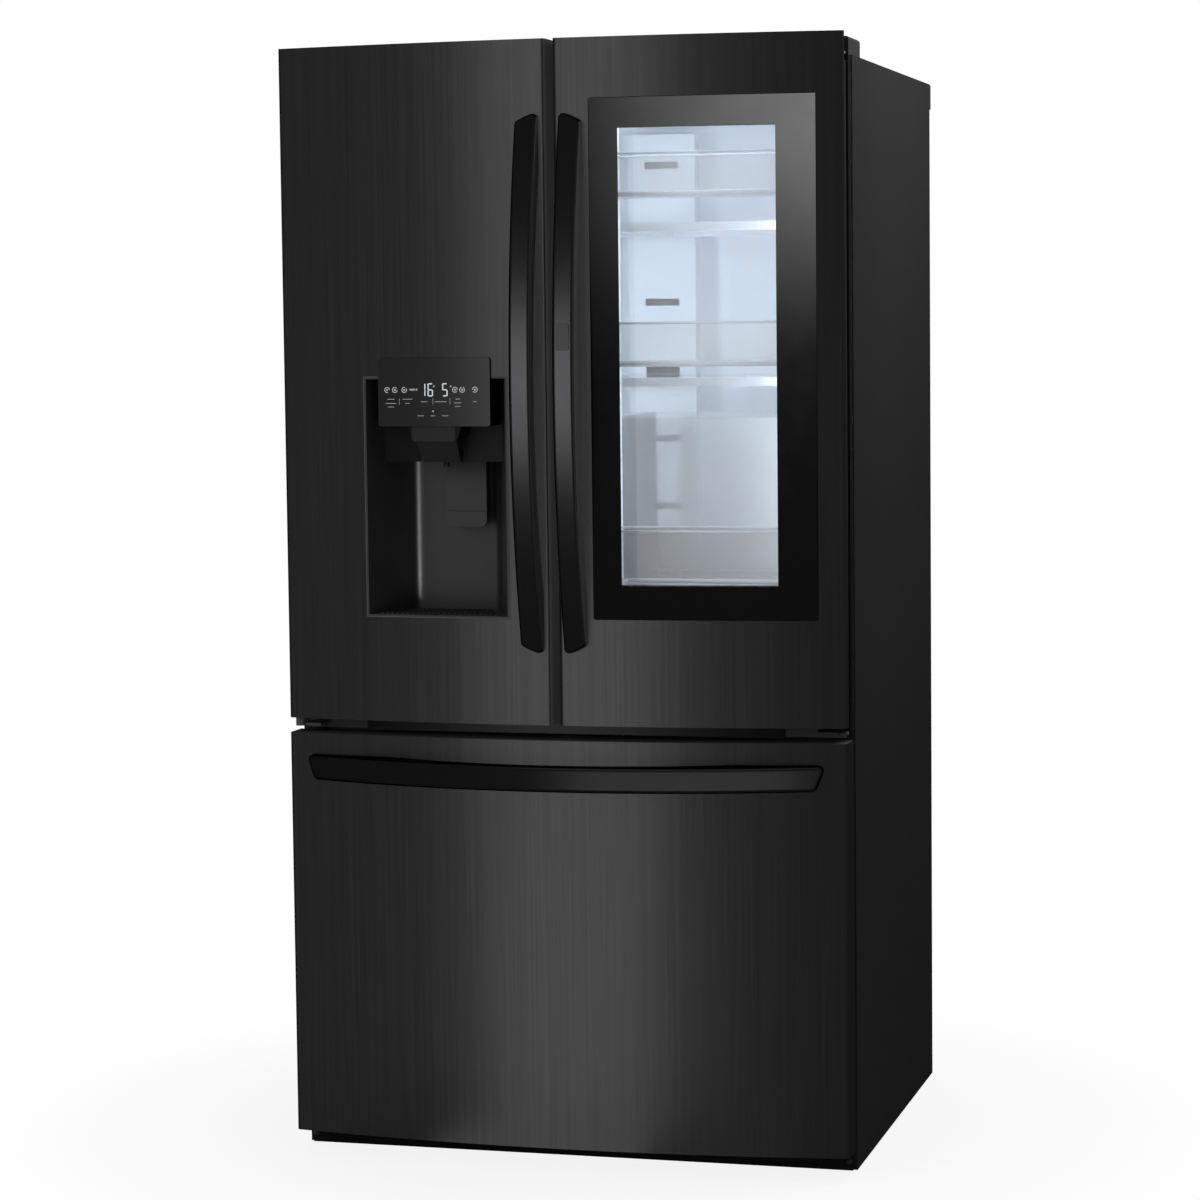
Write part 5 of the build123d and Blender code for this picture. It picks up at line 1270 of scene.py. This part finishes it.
class FRIDGE_OT_stage(FridgeOperator, bpy.types.Operator):
    """Floor, light, surroundings and camera"""

    bl_idname = "fridge.stage"
    bl_label = "Stage"

    def execute(self, context):
        stage = context.scene.fridge_stage
        self.floor()
        self.lights(stage, context.scene.fridge_colours.light)
        self.world(context.scene, stage)
        self.camera(context.scene, stage)
        context.scene.view_settings.view_transform = "Standard"
        return {"FINISHED"}

    def floor(self):
        """Pale floor that fades to plain white away from the object."""
        reach = 30.0
        grey = 0.45
        near = 0.5
        far = 1.1
        near_white = 0.87
        points = np.column_stack([reach * CORNERS, np.zeros(len(CORNERS))])
        mesh = bpy.data.meshes.new("floor")
        mesh.from_pydata(points.tolist(), [], [[0, 1, 2, 3]])
        floor = bpy.data.objects.new("floor", mesh)
        bpy.context.scene.collection.objects.link(floor)
        material, tree, shader, place = new_material("floor_white")
        shader.inputs["Base Color"].default_value = (grey, grey, grey, 1.0)
        shader.inputs["Roughness"].default_value = 0.9
        shader.inputs["Specular IOR Level"].default_value = 0.0
        fade = add_node(tree, "MapRange", {"From Min": near, "From Max": far, "To Min": near_white})
        feed(fade, "Value", vector_length(tree, place))
        factor = math_node(tree, "MULTIPLY", plainly_seen(tree), fade.outputs["Result"])
        mix_to_output(tree, shader, add_node(tree, "Emission"), factor)
        mesh.materials.append(material)

    def area_light(self, name, form, watts, mirrored_by=(), falls_on=(), passes=()):
        """Soft rectangular light of a form, which is its place, target, width and height.

        One that pieces mirror shows in their gloss alone. One that falls on nodes lights nothing else.
        Nodes that it passes throw no shadow from it.
        """
        place, target, wide, tall = form
        light = bpy.data.lights.new(name, "AREA")
        light.shape = "RECTANGLE"
        light.size = wide
        light.size_y = tall
        light.energy = watts
        lamp = bpy.data.objects.new(name, light)
        bpy.context.scene.collection.objects.link(lamp)
        lamp.location = place
        lamp.rotation_euler = (Vector(target) - Vector(place)).to_track_quat("-Z", "Y").to_euler()
        lamp.visible_camera = False
        lamp.visible_transmission = False
        lamp.visible_glossy = bool(mirrored_by)
        lamp.visible_diffuse = not mirrored_by
        receivers = mirrored_by or falls_on
        if receivers:
            lamp.light_linking.receiver_collection = self.linked(name + "_receivers", receivers)
        if passes:
            blockers = self.linked(name + "_passes", passes)
            for entry in blockers.collection_objects:
                entry.light_linking.link_state = "EXCLUDE"
            lamp.light_linking.blocker_collection = blockers
        return light

    def linked(self, name, pieces):
        """Collection of nodes and pieces for the linking of a light."""
        found = bpy.data.collections.new(name)
        for piece in pieces:
            found.objects.link(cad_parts.get(piece) or bpy.data.objects[piece])
        return found

    def fade_light(self, light):
        """Lets a light fall off from its upper right corner to nothing at its lower edge."""
        light.use_nodes = True
        tree = light.node_tree
        axes = split(tree, add_node(tree, "NewGeometry").outputs["Parametric"])
        upward = add_node(tree, "MapRange", interpolation_type="SMOOTHERSTEP")
        feed(upward, "Value", axes["Y"])
        strength = math_node(tree, "MULTIPLY", upward.outputs["Result"], axes["X"])
        feed(find_node(tree, "EMISSION"), "Strength", strength)

    def lights(self, stage, inside_colour):
        """Wide lights for matt surfaces, even light inside, and the cards that glossy pieces mirror."""
        for name in ("key", "top", "side", "rear"):
            self.area_light(name, LIGHTS[name], getattr(stage, name + "_light"))
        inside = (("inside_fill_left", stage.fill_light), ("inside_fill_right", stage.fill_light),
                  ("tunnel_fill", stage.tunnel_light))
        for name, strength in inside:
            self.area_light(name, LIGHTS[name], strength).color = inside_colour
        bars = (*UPRIGHT_BARS, "handle_button")
        level = ("drawer_handle",)
        self.front_cards(stage, bars, level)
        # Name, power, pieces that mirror the light, nodes that it falls on, and what it passes
        rows = (
            ("gap_fill", stage.gap_light, (), ("left_door_skin",), (*bars, *RIGHT_DOOR)),
            ("handle_card", stage.handle_glow, bars),
            ("handle_side", stage.side_glow, bars),
            ("drawer_card", stage.drawer_glow, level),
            ("drawer_top_card", stage.drawer_top_glow, level),
            ("rail_fill", stage.rail_light, (), ("cross_rails",)),
            ("hinge_fill", stage.hinge_light, (), ("door_hinges",)),
            ("niche_card", stage.niche_glow, ("dispenser_niche",), (), (*bars, "dispenser_paddle")),
        )
        for name, strength, *links in rows:
            self.area_light(name, LIGHTS[name], strength, *links)
        card = self.area_light("pane_card", LIGHTS["pane_card"], stage.pane_glow, ("border_print",))
        self.fade_light(card)

    def front_cards(self, stage, bars, level):
        """Tall cards that the steel fronts mirror, carried on over the floor for the drawer's lower edge."""
        fronts = (*FRONT_SKINS, "dispenser_panel")
        inset = (*fronts, "dispenser_nozzle")
        handles = (*bars, *level)
        stand = -0.9
        tall = 2.9
        foot = 0.5
        foot_shift = 0.05
        foot_lift = 0.004
        foot_wide = 0.85
        foot_power = 0.6
        shade = stage.handle_shade * stage.front_glow
        # Name, x, width, power, pieces that mirror the card, and handles that it passes
        cards = (
            ("front_strip", -0.12, 0.44, stage.front_glow - shade, inset, handles),
            ("front_strip_shaded", -0.12, 0.44, shade, inset, level),
            ("front_wash", -1.0, 1.2, stage.wash_glow, fronts, handles),
            ("front_edge", 0.21, 0.26, stage.edge_glow, fronts, handles),
        )
        for name, x, wide, strength, shown, passed in cards:
            form = ((x, stand, tall / 2), (x, 0.0, tall / 2), wide, tall)
            self.area_light(name, form, strength, shown, passes=passed)
            place = Vector((x + foot_shift, stand + foot / 2, foot_lift))
            form = (place, place + Vector((0.0, 0.0, 1.0)), foot_wide * wide, foot)
            self.area_light(name + "_foot", form, foot_power * strength * foot / tall, shown, passes=passed)

    def world(self, scene, stage):
        """White surroundings for the camera, mirrors and glass, at a plain level for matt surfaces."""
        world = bpy.data.worlds.new("studio")
        world.use_nodes = True
        tree = world.node_tree
        background = find_node(tree, "BACKGROUND")
        background.inputs["Color"].default_value = (1.0, 1.0, 1.0, 1.0)
        feed(background, "Strength", ranged(tree, plainly_seen(tree), stage.world_level, 1.0))
        scene.world = world

    def camera(self, scene, stage):
        """Camera at the fitted place, turned by azimuth, elevation and roll."""
        data = bpy.data.cameras.new("camera")
        data.lens = stage.lens
        data.sensor_width = 36.0
        data.clip_end = 200.0
        camera = bpy.data.objects.new("camera", data)
        scene.collection.objects.link(camera)
        level = math.cos(stage.elevation)
        across = math.sin(stage.azimuth) * level
        back = Vector((across, -math.cos(stage.azimuth) * level, math.sin(stage.elevation)))
        right = (-back).cross(Vector((0.0, 0.0, 1.0))).normalized()
        up = right.cross(-back)
        turned = right * math.cos(stage.roll) + up * math.sin(stage.roll)
        raised = up * math.cos(stage.roll) - right * math.sin(stage.roll)
        turn = Matrix((turned, raised, back)).transposed().to_4x4()
        camera.matrix_world = Matrix.Translation(Vector(stage.place)) @ turn
        scene.camera = camera


OPERATORS = (FRIDGE_OT_front, FRIDGE_OT_case, FRIDGE_OT_dispenser, FRIDGE_OT_window, FRIDGE_OT_interior,
             FRIDGE_OT_seals, FRIDGE_OT_workings, FRIDGE_OT_stage)
GROUPS = {"fridge_colours": FridgeColours, "fridge_sizes": FridgeSizes, "fridge_stage": FridgeStage}


class FRIDGE_PT_looks(bpy.types.Panel):
    """Lists the steps of the refrigerator's looks"""

    bl_idname = "FRIDGE_PT_looks"
    bl_label = "Refrigerator"
    bl_space_type = "VIEW_3D"
    bl_region_type = "UI"
    bl_category = "Refrigerator"

    def draw(self, context):
        for operator in OPERATORS:
            self.layout.operator(operator.bl_idname)
        for label, group in GROUPS.items():
            box = self.layout.box()
            for name in group.__annotations__:
                box.prop(getattr(context.scene, label), name)


CLASSES = (*GROUPS.values(), *OPERATORS, FRIDGE_PT_looks)


def register():
    for item in CLASSES:
        bpy.utils.register_class(item)
    for label, group in GROUPS.items():
        setattr(bpy.types.Scene, label, bpy.props.PointerProperty(type=group))


def unregister():
    for label in GROUPS:
        delattr(bpy.types.Scene, label)
    for item in reversed(CLASSES):
        bpy.utils.unregister_class(item)


def main():
    register()
    bpy.ops.fridge.front()
    bpy.ops.fridge.case()
    bpy.ops.fridge.dispenser()
    bpy.ops.fridge.window()
    bpy.ops.fridge.interior()
    bpy.ops.fridge.seals()
    bpy.ops.fridge.workings()
    bpy.ops.fridge.stage()


if __name__ == "__main__":
    main()
